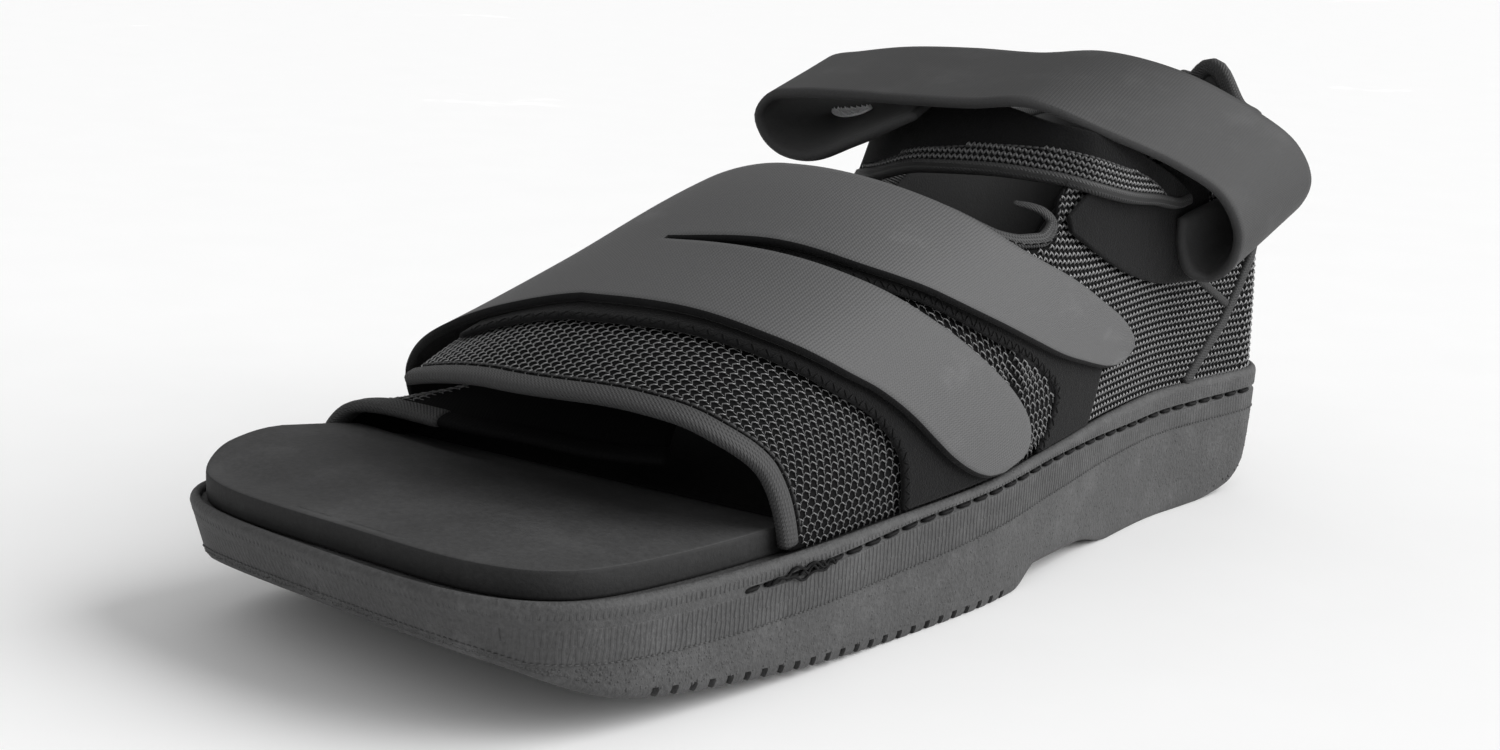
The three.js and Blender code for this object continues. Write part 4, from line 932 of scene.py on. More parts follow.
def build_weave(tree, enter):
    apart = node(tree, "ShaderNodeSeparateXYZ", None, {0: enter["Place"]}).outputs
    rate = calc(tree, "DIVIDE", 2 * math.pi, enter["Pitch"])
    slanted = calc(tree, "MULTIPLY_ADD", apart[1], enter["Slant"], apart[0])
    warp = calc(tree, "SINE", calc(tree, "MULTIPLY", slanted, rate))
    weft = calc(tree, "SINE", calc(tree, "MULTIPLY", apart[1], rate))
    over = calc(tree, "MULTIPLY_ADD", calc(tree, "MULTIPLY", warp, weft), 0.25, 0.5)
    height = calc(tree, "MULTIPLY_ADD", warp, 0.25, over)
    return height, calc(tree, "MULTIPLY_ADD", warp, 0.5, 0.5)


def build_rub(tree, enter):
    patch = node(tree, "ShaderNodeTexNoise", None, {
        "Vector": enter["Place"], "Scale": calc(tree, "DIVIDE", 1.0, enter["Size"]), "Detail": 5.0, "Roughness": 0.65})
    start = calc(tree, "SUBTRACT", 0.68, calc(tree, "MULTIPLY", enter["Amount"], 0.3))
    mask = node(tree, "ShaderNodeMapRange", {"interpolation_type": "SMOOTHSTEP"}, {
        "Value": patch.outputs["Fac"], "From Min": start, "From Max": 0.78})
    return (mask.outputs["Result"],)


# How much lighter a rubbed patch is
RUB_GAIN = 1.45
# Shared effects: name, inputs, outputs and what builds them
EFFECTS = {
    "grain": ("Fine grain", {"Place": None, "Size": 1.0}, ("Height", "Tone"), build_grain),
    "weave": ("Woven threads", {"Place": None, "Pitch": 1.0, "Slant": 0.0}, ("Height", "Tone"), build_weave),
    "rub": ("Rubbed patches", {"Place": None, "Size": 20.0, "Amount": 0.5}, ("Mask",), build_rub),
}


def effect(tree, kind, place, **values):
    group = shader_group(*EFFECTS[kind])
    return node(tree, "ShaderNodeGroup", {"node_tree": group}, {"Place": place, **values}).outputs


def place_mm(tree, cloth):
    """Where on the piece a point is, in millimetres: along the cloth, or in the object's own space."""
    if cloth:
        read = node(tree, "ShaderNodeAttribute", {"attribute_name": "cloth_mm", "attribute_type": "GEOMETRY"})
        return read.outputs["Vector"]
    space = node(tree, "ShaderNodeTexCoord").outputs["Object"]
    return node(tree, "ShaderNodeVectorMath", {"operation": "SCALE"}, {"Vector": space, "Scale": 1000.0}).outputs[0]


def tinted(tree, color, tone, spread, rubbed):
    """The colour varied by a tone of 0 to 1, and lifted where the surface is rubbed."""
    base = node(tree, "ShaderNodeRGB")
    base.outputs[0].default_value = (*color, 1)
    gain = calc(tree, "MULTIPLY", calc(tree, "MULTIPLY_ADD", tone, 2 * spread, 1 - spread),
                calc(tree, "MULTIPLY_ADD", rubbed, RUB_GAIN - 1, 1.0))
    scaled = node(tree, "ShaderNodeVectorMath", {"operation": "SCALE"}, {"Vector": base.outputs[0], "Scale": gain})
    return scaled.outputs[0]


def make_material(name, color, rough, specular, bump, depth, surface, sheen=0.0, sheen_rough=0.5):
    """A principled material whose colour, roughness and bump come from its surface; depth is in millimetres."""
    if name in bpy.data.materials:
        return bpy.data.materials[name]
    material = bpy.data.materials.new(name)
    material.use_nodes = True
    tree = material.node_tree
    shader = next(n for n in tree.nodes if n.type == "BSDF_PRINCIPLED")
    tone, height, rubbed, spread = surface(tree)
    tree.links.new(tinted(tree, color, tone, spread, rubbed), shader.inputs["Base Color"])
    tree.links.new(calc(tree, "MULTIPLY_ADD", tone, 0.16, rough - 0.08), shader.inputs["Roughness"])
    raised = node(tree, "ShaderNodeBump", None, {"Strength": bump, "Distance": depth * MM, "Height": height})
    tree.links.new(raised.outputs["Normal"], shader.inputs["Normal"])
    for socket, value in (("Specular IOR Level", specular), ("Sheen Weight", sheen), ("Sheen Roughness", sheen_rough)):
        shader.inputs[socket].default_value = value
    return material


def grainy(size, rub_size, rub_amount, spread):
    def surface(tree):
        place = place_mm(tree, False)
        grain = effect(tree, "grain", place, Size=size)
        rub = effect(tree, "rub", place, Size=rub_size, Amount=rub_amount)
        return grain["Tone"], grain["Height"], rub["Mask"], spread
    return surface


def woven(pitch, slant, rub_size, rub_amount, spread):
    def surface(tree):
        place = place_mm(tree, True)
        weave = effect(tree, "weave", place, Pitch=pitch, Slant=slant)
        grain = effect(tree, "grain", place, Size=0.9)
        rub = effect(tree, "rub", place, Size=rub_size, Amount=rub_amount)
        height = calc(tree, "MULTIPLY_ADD", grain["Height"], 0.4, weave["Height"])
        tone = calc(tree, "MULTIPLY_ADD", grain["Tone"], 0.5, calc(tree, "MULTIPLY", weave["Tone"], 0.5))
        return tone, height, rub["Mask"], spread
    return surface


# Finishes: name, colour in the panel, roughness, specular, bump, depth, surface, and sheen where there is any
FINISHES = {
    "sole": ("Moulded sole", "sole", 0.66, 0.28, 0.95, 0.5, grainy(0.9, 12, 0.8, 0.55)),
    "rib": ("Sole ribs", "sole", 0.64, 0.28, 0.6, 0.3, grainy(0.9, 12, 0.8, 0.45)),
    "foam": ("Footbed foam", "footbed", 0.82, 0.3, 0.45, 0.3, grainy(1.2, 20, 1.0, 0.42)),
    "foam_side": ("Footbed edge", "footbed_edge", 0.8, 0.3, 0.5, 0.3, grainy(1.0, 10, 0.6, 0.5)),
    "lining": ("Mesh backing", "lining", 0.85, 0.1, 0.3, 0.2, woven(0.9, 0, 20, 0.1, 0.2)),
    "yarn": ("Mesh yarn", "yarn", 0.32, 0.9, 0.2, 0.08, grainy(0.35, 12, 0.3, 0.4)),
    "tape": ("Folded tape", "tape", 0.6, 0.3, 0.85, 0.3, woven(0.85, 0.8, 14, 0.4, 0.3)),
    "piping": ("Heel piping", "piping", 0.65, 0.3, 0.6, 0.22, woven(0.8, 0.8, 14, 0.3, 0.2)),
    "velour": ("Loop velour", "velour", 0.95, 0.1, 0.9, 0.5, grainy(0.45, 10, 0.35, 0.35), 0.06, 0.45),
    "strap": ("Strap face", "strap", 0.58, 0.26, 0.55, 0.16, woven(0.75, 0, 30, 0.4, 0.24)),
    "strap_back": ("Strap backing", "velour", 0.9, 0.1, 0.8, 0.4, grainy(0.5, 10, 0.3, 0.3), 0.04),
    "ankle": ("Ankle strap face", "ankle_strap", 0.62, 0.24, 0.4, 0.14, woven(0.8, 0, 24, 0.7, 0.26)),
    "inner_lining": ("Inner lining", "inner_lining", 0.85, 0.15, 0.6, 0.3, grainy(0.5, 14, 0.35, 0.25), 0.04),
    "thread": ("Sewing thread", "thread", 0.7, 0.12, 0.2, 0.06, grainy(0.3, 8, 0.3, 0.25)),
    # Hook tape: near white, partly its own colour and partly a painted glint of its hooks.
    "hook_and_glint": ("Hook tape and painted glint", "hook_and_glint", 0.3, 0.5, 0.2, 0.08, grainy(0.4, 6, 0.4, 0.3)),
}


def materials():
    """All finishes of the shoe, in the colours that the panel holds."""
    tint = bpy.context.scene.shoe_finish
    return {key: make_material(name, getattr(tint, color), *row) for key, (name, color, *row) in FINISHES.items()}


# ---------------------------------------------------------------- properties

def tint_property(label, default, words):
    return FloatVectorProperty(name=label, description=words, subtype="COLOR", size=3, min=0, max=1, default=default)


def length_property(label, default_mm, words):
    return FloatProperty(name=label, description=words, default=default_mm * MM, min=0, subtype="DISTANCE",
                         unit="LENGTH")


class ShoeSizes(bpy.types.PropertyGroup):
    mesh_width: length_property("Mesh cell width", 2.05, "Width of one cell of the forefoot mesh")
    mesh_height: length_property("Mesh cell height", 2.0, "Row height of the forefoot mesh")
    mesh_yarn: length_property("Mesh yarn", 0.35, "Thickness of the forefoot mesh yarn")
    rib_width: length_property("Rib cell width", 1.9, "Length of one stitch of the rear foot mesh")
    rib_height: length_property("Rib cell height", 1.7, "Row height of the rear foot mesh")
    rib_yarn: length_property("Rib yarn", 0.56, "Thickness of the rear foot mesh yarn")
    welt_pitch: length_property("Welt stitch pitch", 6.2, "Distance between the stitches along the sole")
    seam_pitch: length_property("Seam stitch pitch", 2.4, "Distance between the stitches along the tapes")
    zigzag_pitch: length_property("Zigzag pitch", 1.5, "Distance between the zigzag stitches round the velour panels")
    wall_rib_pitch: length_property("Sole rib pitch", 1.25, "Distance between the upright ribs on the sole's wall")
    groove_depth: length_property("Tread groove depth", 2.0, "Depth of the cross grooves in the tread")


class ShoeFinish(bpy.types.PropertyGroup):
    sole: tint_property("Sole", (0.056, 0.056, 0.0565), "Moulded foam rubber of the sole")
    footbed: tint_property("Footbed", (0.0405, 0.0405, 0.041), "Foam of the footbed")
    # Darker colour for the footbed's steep sides.
    footbed_edge: tint_property("Footbed edge", (0.02, 0.02, 0.0203), "Cut edge of the footbed")
    lining: tint_property("Mesh backing", (0.003, 0.003, 0.0032), "Cloth behind the open mesh")
    yarn: tint_property("Mesh yarn", (0.104, 0.104, 0.105), "Yarn of the open mesh")
    tape: tint_property("Tape", (0.04, 0.04, 0.0405), "Folded tape along the edges")
    piping: tint_property("Piping", (0.02, 0.02, 0.0203), "Piping of the heel seams")
    velour: tint_property("Velour", (0.007, 0.007, 0.0073), "Loop velour panels and strap backing")
    strap: tint_property("Forefoot strap", (0.077, 0.077, 0.078), "Smooth face of the forefoot strap")
    ankle_strap: tint_property("Ankle strap", (0.0365, 0.0365, 0.037), "Smooth face of the ankle strap")
    inner_lining: tint_property("Inner lining", (0.042, 0.042, 0.0425), "Inside of the rear foot and ankle strap")
    thread: tint_property("Thread", (0.005, 0.005, 0.0052), "Sewing thread")
    # Near white: partly the hook tape's own colour, partly a painted glint.
    hook_and_glint: tint_property("Hook tape and painted glint", (0.85, 0.85, 0.86), "Small hook patch under the ankle strap")


class ShoeStage(bpy.types.PropertyGroup):
    floor: tint_property("Floor", (0.95, 0.95, 0.95), "Pale studio floor")
    key: FloatProperty(name="Key light", description="Strength of the light on the outer side", default=3.5, min=0)
    key_spread: FloatProperty(name="Key spread", description="How wide the key light looks", default=math.radians(60),
                              min=0, subtype="ANGLE", unit="ROTATION")
    fill: FloatProperty(name="Fill light", description="Strength of the light from the toe end", default=0.26, min=0)
    sky: FloatProperty(name="Sky", description="Strength of the even white surroundings", default=0.5, min=0)
    seed: IntProperty(name="Seed", description="Seed for slack threads and uneven foam", default=11, min=0)


# ---------------------------------------------------------------- pieces

GROOVE_FIRST, GROOVE_LAST, GROOVE_PITCH, GROOVE_WIDTH = 34, 147, 4.8, 1.7
# Rim of the sole: distance in from the edge, and below the rim's top
RIM_RINGS = ((0.03, 1.5), (0.12, 1.0), (0.35, 0.55), (0.66, 0.25), (1.0, 0.06), (1.32, 0), (1.65, 0.12), (1.98, 0.4),
             (2.14, 0.9), (2.2, LEDGE_DROP))
WELT_START = 56
# Where on the ankle strap's grid the hook patch lies
HOOK_ROWS, HOOK_COLUMN = (184.5, 197.5), 12
PARTING_BELOW = Table("s below", (0, 11.6), (60, 12), (94, 11.8), (136, 10.9), (194, 10.7), (285, 10.7))
WELT_BELOW = Table("s below", (0, 4.2), (57, 4.2), (86, 3.4), (119, 2.4), (162, 2.8), (220, 5.6),
                   (262, 5.6), (285, 5.6))


def wall_inset(s, z):
    """How far in the sole's wall is at a height, between the tread's edge and the rim."""
    low, high = tread(s) + 1.5, SOLE_RIM.z(s) - 1.5
    share = np.clip((z - low) / np.maximum(high - low, 0.1), 0, 1) ** (1 / (1 + 1.2 * smooth(s, 238, 272)))
    return lerp(0.62 * DRAFT.inset(s), 0.03, share)


def parting_height(s):
    return np.maximum(SOLE_RIM.z(s) - PARTING_BELOW.below(s), tread(s) + 3)


class SHOE_OT_outsole(bpy.types.Operator):
    """Rocker sole with its rim, its ribbed and stippled wall, its parting line and its grooved tread"""

    bl_idname = "shoe.outsole"
    bl_label = "Outsole"

    def execute(self, context):
        finish, sizes = materials(), context.scene.shoe_sizes
        grooves = np.arange(GROOVE_FIRST, GROOVE_LAST + 0.1, GROOVE_PITCH)
        edges = [g + side * (GROOVE_WIDTH / 2 + 0.05 * way) for g in grooves for side in (-1, 1) for way in (-1, 1)]
        loop = outline(edges)
        s = loop[0]
        cut = (np.abs(s[:, None] - grooves).min(1) < GROOVE_WIDTH / 2) * sizes.groove_depth / MM
        rim, low = SOLE_RIM.z(s), tread(s)
        rings = [ring_points(loop, DRAFT.inset(s), low + cut),
                 ring_points(loop, 0.8 * DRAFT.inset(s), low + np.maximum(0.5, cut + 0.05)),
                 ring_points(loop, 0.62 * DRAFT.inset(s), low + np.maximum(1.6, cut + 0.1))]
        part = parting_height(s)
        for t in np.linspace(0.1, 0.9, 7):
            z = lerp(low + 2.2, part, t)
            rings.append(ring_points(loop, wall_inset(s, z), z))
        welt = rim - WELT_BELOW.below(s)
        for t in (0.05, 0.5):
            z = lerp(part, welt - 0.8, t)
            rings.append(ring_points(loop, wall_inset(s, z), z))
        channel = 0.8 * smooth(s, WELT_START - 2, WELT_START + 2)
        for shift, dip in ((-0.75, 0), (-0.4, 0.7), (0, 1), (0.4, 0.7), (0.75, 0)):
            rings.append(ring_points(loop, wall_inset(s, welt + shift) + dip * channel, welt + shift))
        rings += [ring_points(loop, inset, rim - below) for inset, below in RIM_RINGS]
        sole = ring_solid("shoe_outsole", rings, [finish["sole"]], sharp=32)
        finish_piece(sole, "sole", "outsole")

        tiers = [self.wall_path(loop, part, welt - 0.9, 0.25, 0.55, 0),
                 self.wall_path(loop, part, welt - 0.9, 0.75, 0.55, 37),
                 self.wall_path(loop, welt + 0.9, rim - 1.4, 0.5, 0.9, 74)]
        ribs = sew("shoe_sole_ribs", tiers, wall_rib(0.85, 0.14), finish["rib"], sizes.wall_rib_pitch / MM, loose=0.13)
        finish_piece(ribs, "sole")
        points, facing, _ = self.wall_path(loop, part, welt, 0, 0, 0)
        line = sew("shoe_sole_parting_line", [(points, facing)], thread_stitch(0.95, 0.42), finish["rib"], 1.3,
                   loose=0.15)
        finish_piece(line, "sole")
        self.stipple(context, loop, finish)
        return {"FINISHED"}

    def wall_path(self, loop, low, high, share, tall, start):
        """Path round the wall between two heights, with how tall the ribs are on it."""
        s = loop[0]
        middle = lerp(low, high, share)
        points = ring_points(loop, wall_inset(s, middle), middle)
        above = ring_points(loop, wall_inset(s, middle + 1), middle + 1)
        around = np.roll(points, -1, axis=0) - np.roll(points, 1, axis=0)
        facing = unit(np.cross(around, above - points))
        proud = lerp(0.25, 1, smooth(s, 14, 48)) * lerp(1, 0.35, smooth(s, 165, 220))
        stretch = np.stack([np.ones(len(s)), np.maximum(tall * (high - low), 0.4), proud], -1)
        return [np.concatenate([a[start:], a[:start + 1]]) for a in (points, facing, stretch)]

    def stipple(self, context, loop, finish):
        """Small nubs scattered over the wall below the parting line."""
        random = np.random.default_rng(context.scene.shoe_stage.seed)
        s, x, inward = loop
        step = np.hypot(np.diff(s), np.diff(x))
        length = np.concatenate([[0], np.cumsum(step)])
        at = random.uniform(0, length[-1], 3000)
        spot = [np.interp(at, length, a) for a in (s, x, inward[:, 0], inward[:, 1])]
        where = (spot[0], spot[1], unit(np.stack(spot[2:], -1)))
        z = lerp(tread(where[0]) + 2, parting_height(where[0]) - 0.5, random.uniform(0, 1, len(at)))
        facing = np.concatenate([-where[2], np.zeros((len(at), 1))], 1)
        size = random.uniform(0.5, 1.2, (len(at), 1)) * np.array([[1, 1, 0.8]])
        host = host_mesh(ring_points(where, wall_inset(where[0], z), z), [], facing=facing,
                         lead=np.tile([0, 0, 1.0], (len(at), 1)), stretch=size)
        tree = shared_tree("Cells over a surface", False)
        nubs = repeated("shoe_sole_stipple", tree, host, nub(1.0, 0.13), finish["rib"], Looseness=0.5, Seed=5)
        finish_piece(nubs, "sole")


class SHOE_OT_footbed(bpy.types.Operator):
    """Thick foam footbed with a rounded edge and a slightly uneven top"""

    bl_idname = "shoe.footbed"
    bl_label = "Footbed"

    def execute(self, context):
        seed = context.scene.shoe_stage.seed
        loop = outline(toe=48, side=120, heel=36)
        s, x, _ = loop
        inner = 1 - smooth(x, -45, 20)
        edge = (FORM.welt(s) + 1.2 + 1.8 * smooth(s, LENGTH - 2 * HEEL_ROUND, HEEL_S)
                - INSOLE_INNER.reach(s) * inner)
        foot = ledge(s) + GAP - 0.2
        top = foot + FOOTBED_THICK + INSOLE_INNER.lift(s) * inner
        wavy = 0.25 * dents(s, x, seed, 14)
        rings = [ring_points(loop, edge + inset, foot + over) for inset, over in ((0.6, 0), (0.15, 0.25), (0, 0.8))]
        rings += [ring_points(loop, edge + inset + 0.12 * wavy, top - below) for inset, below in
                  ((0, 2.6), (0, 0.8), (0.05, 0.35), (0.18, 0.1), (0.4, 0), (1.1, 0), (2.6, 0))]

        def uneven(x, y, t):
            fade = smooth(y + LENGTH / 2, 8, 26) * smooth(LENGTH / 2 - y, 8, 26)
            return 0.3 * dents(x, y, seed + 1, 22) * np.sin(math.pi * t) * fade

        finish = materials()
        pad = ring_solid("shoe_footbed", rings, [finish["foam"], finish["foam_side"]], cross=28, shape_top=uneven,
                         sharp=0)
        # Faces steeper than the top take the darker footbed edge colour.
        for face in pad.data.polygons:
            face.material_index = int(abs(face.normal.z) < 0.55)
        finish_piece(pad, "footbed", "insole")
        # Painted shade: a near-black sheet over the footbed behind the toes stands for the shade inside the shoe.
        cloth_piece("shoe_footbed_cover", self.painted_shade_sheet, 40, 90, 0.4, 0.85, [finish["lining"]] * 3, "footbed",
                    [])
        return {"FINISHED"}

    def painted_shade_sheet(self, t, k, offset):
        """Dark cloth over the footbed, from behind the toes to the heel: a sheet of painted shade for the dark inside
        of the shoe.
        """
        across = 2 * t - 1
        s = lerp(68 + 5 * across, 274, k)
        x = across * (sole_half(s) - FORM.welt(s) - 3.4 - 1.8 * smooth(s, LENGTH - 2 * HEEL_ROUND, HEEL_S))
        lift = INSOLE_INNER.lift(s) * (1 - smooth(x, -45, 20))
        return np.stack([x, s - LENGTH / 2, ledge(s) + GAP + 5.3 + lift + offset], -1)


class SHOE_OT_forefoot_flaps(bpy.types.Operator):
    """The two lapped forefoot flaps: dark backing cloth under an open knitted mesh"""

    bl_idname = "shoe.forefoot_flaps"
    bl_label = "Forefoot Flaps"

    def execute(self, context):
        finish, sizes = materials(), context.scene.shoe_sizes
        size = (sizes.mesh_width / MM, sizes.mesh_height / MM)
        backing = [finish["lining"]] * 3
        # The last number is the share along each flap where its yarn starts: the far flap has no yarn over its part in
        # the hollow, so the near-black backing shows there as painted shade.
        for name, place, rows, node_name, sides, first in (
                ("shoe_flap_near", near_flap, 110, "vamp_flap_near", ["shoe_outsole", "shoe_flap_far"], 0),
                ("shoe_flap_far", far_flap, 90, "vamp_flap_far", ["shoe_outsole"], 0.56)):
            cloth_piece(name, place, rows, 60, CLOTH_IN, CLOTH_OUT, backing, "mesh", [node_name])
            cell = knit_cell(*size, sizes.mesh_yarn / MM)
            counts = cell_counts(place, CELL_OUT, size)
            mesh = knit(name + "_mesh", place, YARN_OUT, size, counts, cell, finish["yarn"],
                        keep=lambda t, k, first=first: (t > first) & (k > 0.035) & (k < 0.985))
            finish_piece(mesh, "mesh")
        return {"FINISHED"}


class SHOE_OT_loop_panels(bpy.types.Operator):
    """Loop velour panels on the outer flap and on the outer side of the heel"""

    bl_idname = "shoe.loop_panels"
    bl_label = "Loop Panels"

    def execute(self, context):
        velour = [materials()["velour"]] * 3
        for name, place, node_name, on in (
                ("shoe_panel_front", band(FRONT_PANEL), "loop_panel_front", "shoe_flap_near"),
                ("shoe_panel_rear", band(REAR_PANEL), "loop_panel_rear", "shoe_flap_near"),
                ("shoe_panel_quarter", quarter_panel, "quarter_panel", "shoe_quarter_near")):
            cloth_piece(name, place, 90, 24, PANEL_IN, PANEL_OUT, velour, "velour", [node_name])
        return {"FINISHED"}


class SHOE_OT_forefoot_strap(bpy.types.Operator):
    """Wide slit strap over the forefoot: a smooth grey face on a dark backing"""

    bl_idname = "shoe.forefoot_strap"
    bl_label = "Forefoot Strap"

    def execute(self, context):
        finish = materials()
        columns, body_rows, finger_rows = 18, 60, 84
        last = STRAP_BODY.rows[-1]
        across = last[2] - last[0]
        slit_start = (FRONT_FINGER.rows[0][2] - last[0]) / across
        slit_end = (REAR_FINGER.rows[0][0] - last[0]) / across
        split = np.concatenate([np.linspace(0, slit_start, columns + 1), np.linspace(slit_end, 1, columns + 1)])
        k = np.linspace(0, 1, columns + 1)

        def layer(offset):
            t = np.linspace(0, 1, body_rows + 1)[:, None]
            body = band(STRAP_BODY)(t, split[None, :], offset)
            t = np.linspace(0, 1, finger_rows + 1)[1:, None]
            fingers = [band(table)(t, k[None, :], offset) for table in (FRONT_FINGER, REAR_FINGER)]
            return np.concatenate([body, np.concatenate(fingers, axis=1)])

        outer, inner = layer(STRAP_OUT), layer(STRAP_IN)
        present = np.ones((outer.shape[0] - 1, outer.shape[1] - 1), bool)
        present[body_rows:, columns] = False
        strap = shell("shoe_forefoot_strap", outer, inner,
                      [finish["strap"], finish["strap_back"], finish["strap_back"]], present)
        finish_piece(strap, "strap", "forefoot_strap")
        declare_cloth((outer + inner) / 2, present)
        return {"FINISHED"}


class SHOE_OT_rear_foot(bpy.types.Operator):
    """Mesh side walls and ribbed heel counter"""

    bl_idname = "shoe.rear_foot"
    bl_label = "Rear Foot"

    def execute(self, context):
        finish, sizes = materials(), context.scene.shoe_sizes
        backing = [finish["lining"], finish["inner_lining"], finish["lining"]]
        for name, place, node_name in (("shoe_quarter_near", side_wall(False), "quarter_near"),
                                       ("shoe_quarter_far", side_wall(True), "quarter_far"),
                                       ("shoe_heel_counter", heel_counter, "heel_counter")):
            cloth_piece(name, place, 80, 36, CLOTH_IN, CLOTH_OUT, backing, "mesh",
                        [node_name])
        size = (sizes.rib_width / MM, sizes.rib_height / MM)
        for name, first, last, tall, keep in (
                ("shoe_quarter_near_mesh", 142, 282, 62, self.on_near_side),
                ("shoe_quarter_far_mesh", WALL_MIRROR - 282, WALL_MIRROR - 142, 62, self.on_far_side),
                ("shoe_heel_counter_mesh", 236, WALL_MIRROR - 236, 74, self.on_counter)):
            place = rear_rows(first, last, tall)
            cell = rib_cell(*size, sizes.rib_yarn / MM)
            counts = cell_counts(place, CELL_OUT, size)
            mesh = knit(name, place, YARN_OUT, size, counts, cell, finish["yarn"],
                        keep=lambda t, k: self.kept(lerp(first, last, k), tall * t, keep))
            finish_piece(mesh, "mesh")
        return {"FINISHED"}

    def kept(self, girth, over, keep):
        z = rear_row_height(girth, over)
        return (over > 0.5) & (z < collar_height(girth) - 0.4) & keep(girth, z)

    def on_near_side(self, girth, z):
        clear = (girth > 169) | (z > 55)
        return clear & (girth > 152 - 0.12 * (z - 30)) & (girth < HEEL_SEAM.girth(z) - 1.3)

    def on_far_side(self, girth, z):
        mirrored = WALL_MIRROR - girth
        return (mirrored > 152 - 0.12 * (z - 30)) & (mirrored < HEEL_SEAM.girth(z) - 1.3)

    def on_counter(self, girth, z):
        seam = HEEL_SEAM.girth(z) + 1.3
        return (girth > seam) & (girth < WALL_MIRROR - seam)


class SHOE_OT_edge_tapes(bpy.types.Operator):
    """Folded tapes along the flaps and the collar, and the piping of the heel seams"""

    bl_idname = "shoe.edge_tapes"
    bl_label = "Edge Tapes"

    def execute(self, context):
        finish = materials()
        near, far = np.linspace(1.6, NEAR_LAST, 170), np.linspace(112, 177.5, 110)
        # The far tape's stretch inside the hollow is drawn in the near-black backing instead of tape: painted shade.
        under = np.linspace(FAR_FIRST, 112.5, 60)
        share = np.linspace(0.03, 0.3, 60)
        edge = near_flap(share, 1 + 0 * share, 0.9)
        edge_facing = unit(near_flap(share, 1 + 0 * share, 1.9) - edge)
        short = np.linspace(0, 1, 40)
        girth = np.linspace(191, WALL_MIRROR - 147, 270)
        slope = (collar_height(girth + 1) - collar_height(girth - 1)) / 2
        long = np.hypot(1, slope)
        collar = self.on_rear(girth - 2 * slope / long, collar_height(girth) + 2 / long, 1)
        ring = self.on_rear(*COLLAR_RING.read(np.linspace(0, 1, 110))[1:])
        for name, (points, facing), width, thickness, cloth, sides, taper, *nodes in (
                ("shoe_tape_near", self.on_flap(near, NEAR_FLAP, 1.9, lap_lift(near) + 0.8), 4.6, 2.8, "tape", 14, 0,
                 "vamp_binding_near"),
                ("shoe_tape_far", self.on_flap(far, FAR_FLAP, 2.3, 1 + 0 * far), 5.6, 2.8, "tape", 14, 0,
                 "vamp_binding_far"),
                # painted shade: the far tape inside the hollow, in the near-black backing
                ("shoe_tape_far_under", self.on_flap(under, FAR_FLAP, 2.3, 1 + 0 * under), 4.6, 2.2, "lining", 14, 0),
                ("shoe_flap_edge", (edge, edge_facing), 1.5, 1.5, "velour", 8, 0),
                ("shoe_piping_near", self.on_seam(False), 3.2, 2.2, "piping", 12, 0, "heel_piping_near"),
                ("shoe_piping_far", self.on_seam(True), 3.2, 2.2, "piping", 12, 0, "heel_piping_far"),
                ("shoe_seam_short", self.on_rear(lerp(241.5, 255.4, short), lerp(57.9, 50.1, short), 1.5), 2.2, 1.4,
                 "piping", 10, 0),
                ("shoe_collar_tape", collar, 4.6, 3.6, "tape", 14, 0, "collar_binding"),
                ("shoe_collar_ring", ring, 3.4, 1.9, "tape", 14, 45)):
            bar = tape_bar(name, points, facing, width, thickness, [finish[cloth]], sides, taper)
            finish_piece(bar, "tape", *nodes)
        return {"FINISHED"}

    def on_flap(self, angle, flap, inset, lift):
        """Path along a flap's front edge, and its facings."""
        s, sagging = flap.front(angle) + inset, flap is FAR_FLAP
        return on_form(s, angle, lift, sagging), form_normal(s, angle, sagging)

    def on_rear(self, girth, z, lift):
        return on_wall(girth, z, lift + 0 * z), wall_normal(girth, z)

    def on_seam(self, mirrored):
        share = np.linspace(0.01, 0.985, 90)
        girth = seam_girth(share, 0, mirrored)
        return self.on_rear(girth, wall_height(girth, share), 1.4)


class SHOE_OT_ankle_flap(bpy.types.Operator):
    """Flap round the front of the ankle: mesh below, velour above, tape along its lower edge"""

    bl_idname = "shoe.ankle_flap"
    bl_label = "Ankle Flap"

    def execute(self, context):
        finish, sizes = materials(), context.scene.shoe_sizes
        t, k = shares(150, 16)
        outer, inner = ankle_flap(t, k, 0.9), ankle_flap(t, k, -0.9)
        flap = shell("shoe_ankle_flap", outer, inner, [finish["velour"]] * 3)
        finish_piece(flap, "mesh", "ankle_flap")
        declare_cloth((outer + inner) / 2)
        size = (0.75 * sizes.rib_width / MM, 0.8 * sizes.rib_height / MM)
        mesh = knit("shoe_ankle_flap_mesh", ankle_rows, 1.0, size, cell_counts(ankle_rows, 1, size),
                    rib_cell(*size, sizes.rib_yarn / MM), finish["yarn"], keep=self.in_lens)
        finish_piece(mesh, "mesh")
        share = np.linspace(0, 1, 220)
        points = ankle_point(share, ANKLE_TAPE_UP)
        normals = unit(ankle_point(share, ANKLE_TAPE_UP + 1) - points)
        bar = tape_bar("shoe_ankle_tape", points, normals, 3.2, 2.8, [finish["tape"]], 12)
        finish_piece(bar, "tape", "ankle_flap_binding")
        return {"FINISHED"}

    def in_lens(self, t, k):
        k = ankle_share(k)
        return LENS_TALL * t < np.minimum(ANKLE_LENS.tall(k), cloth_tall(k) - 2)


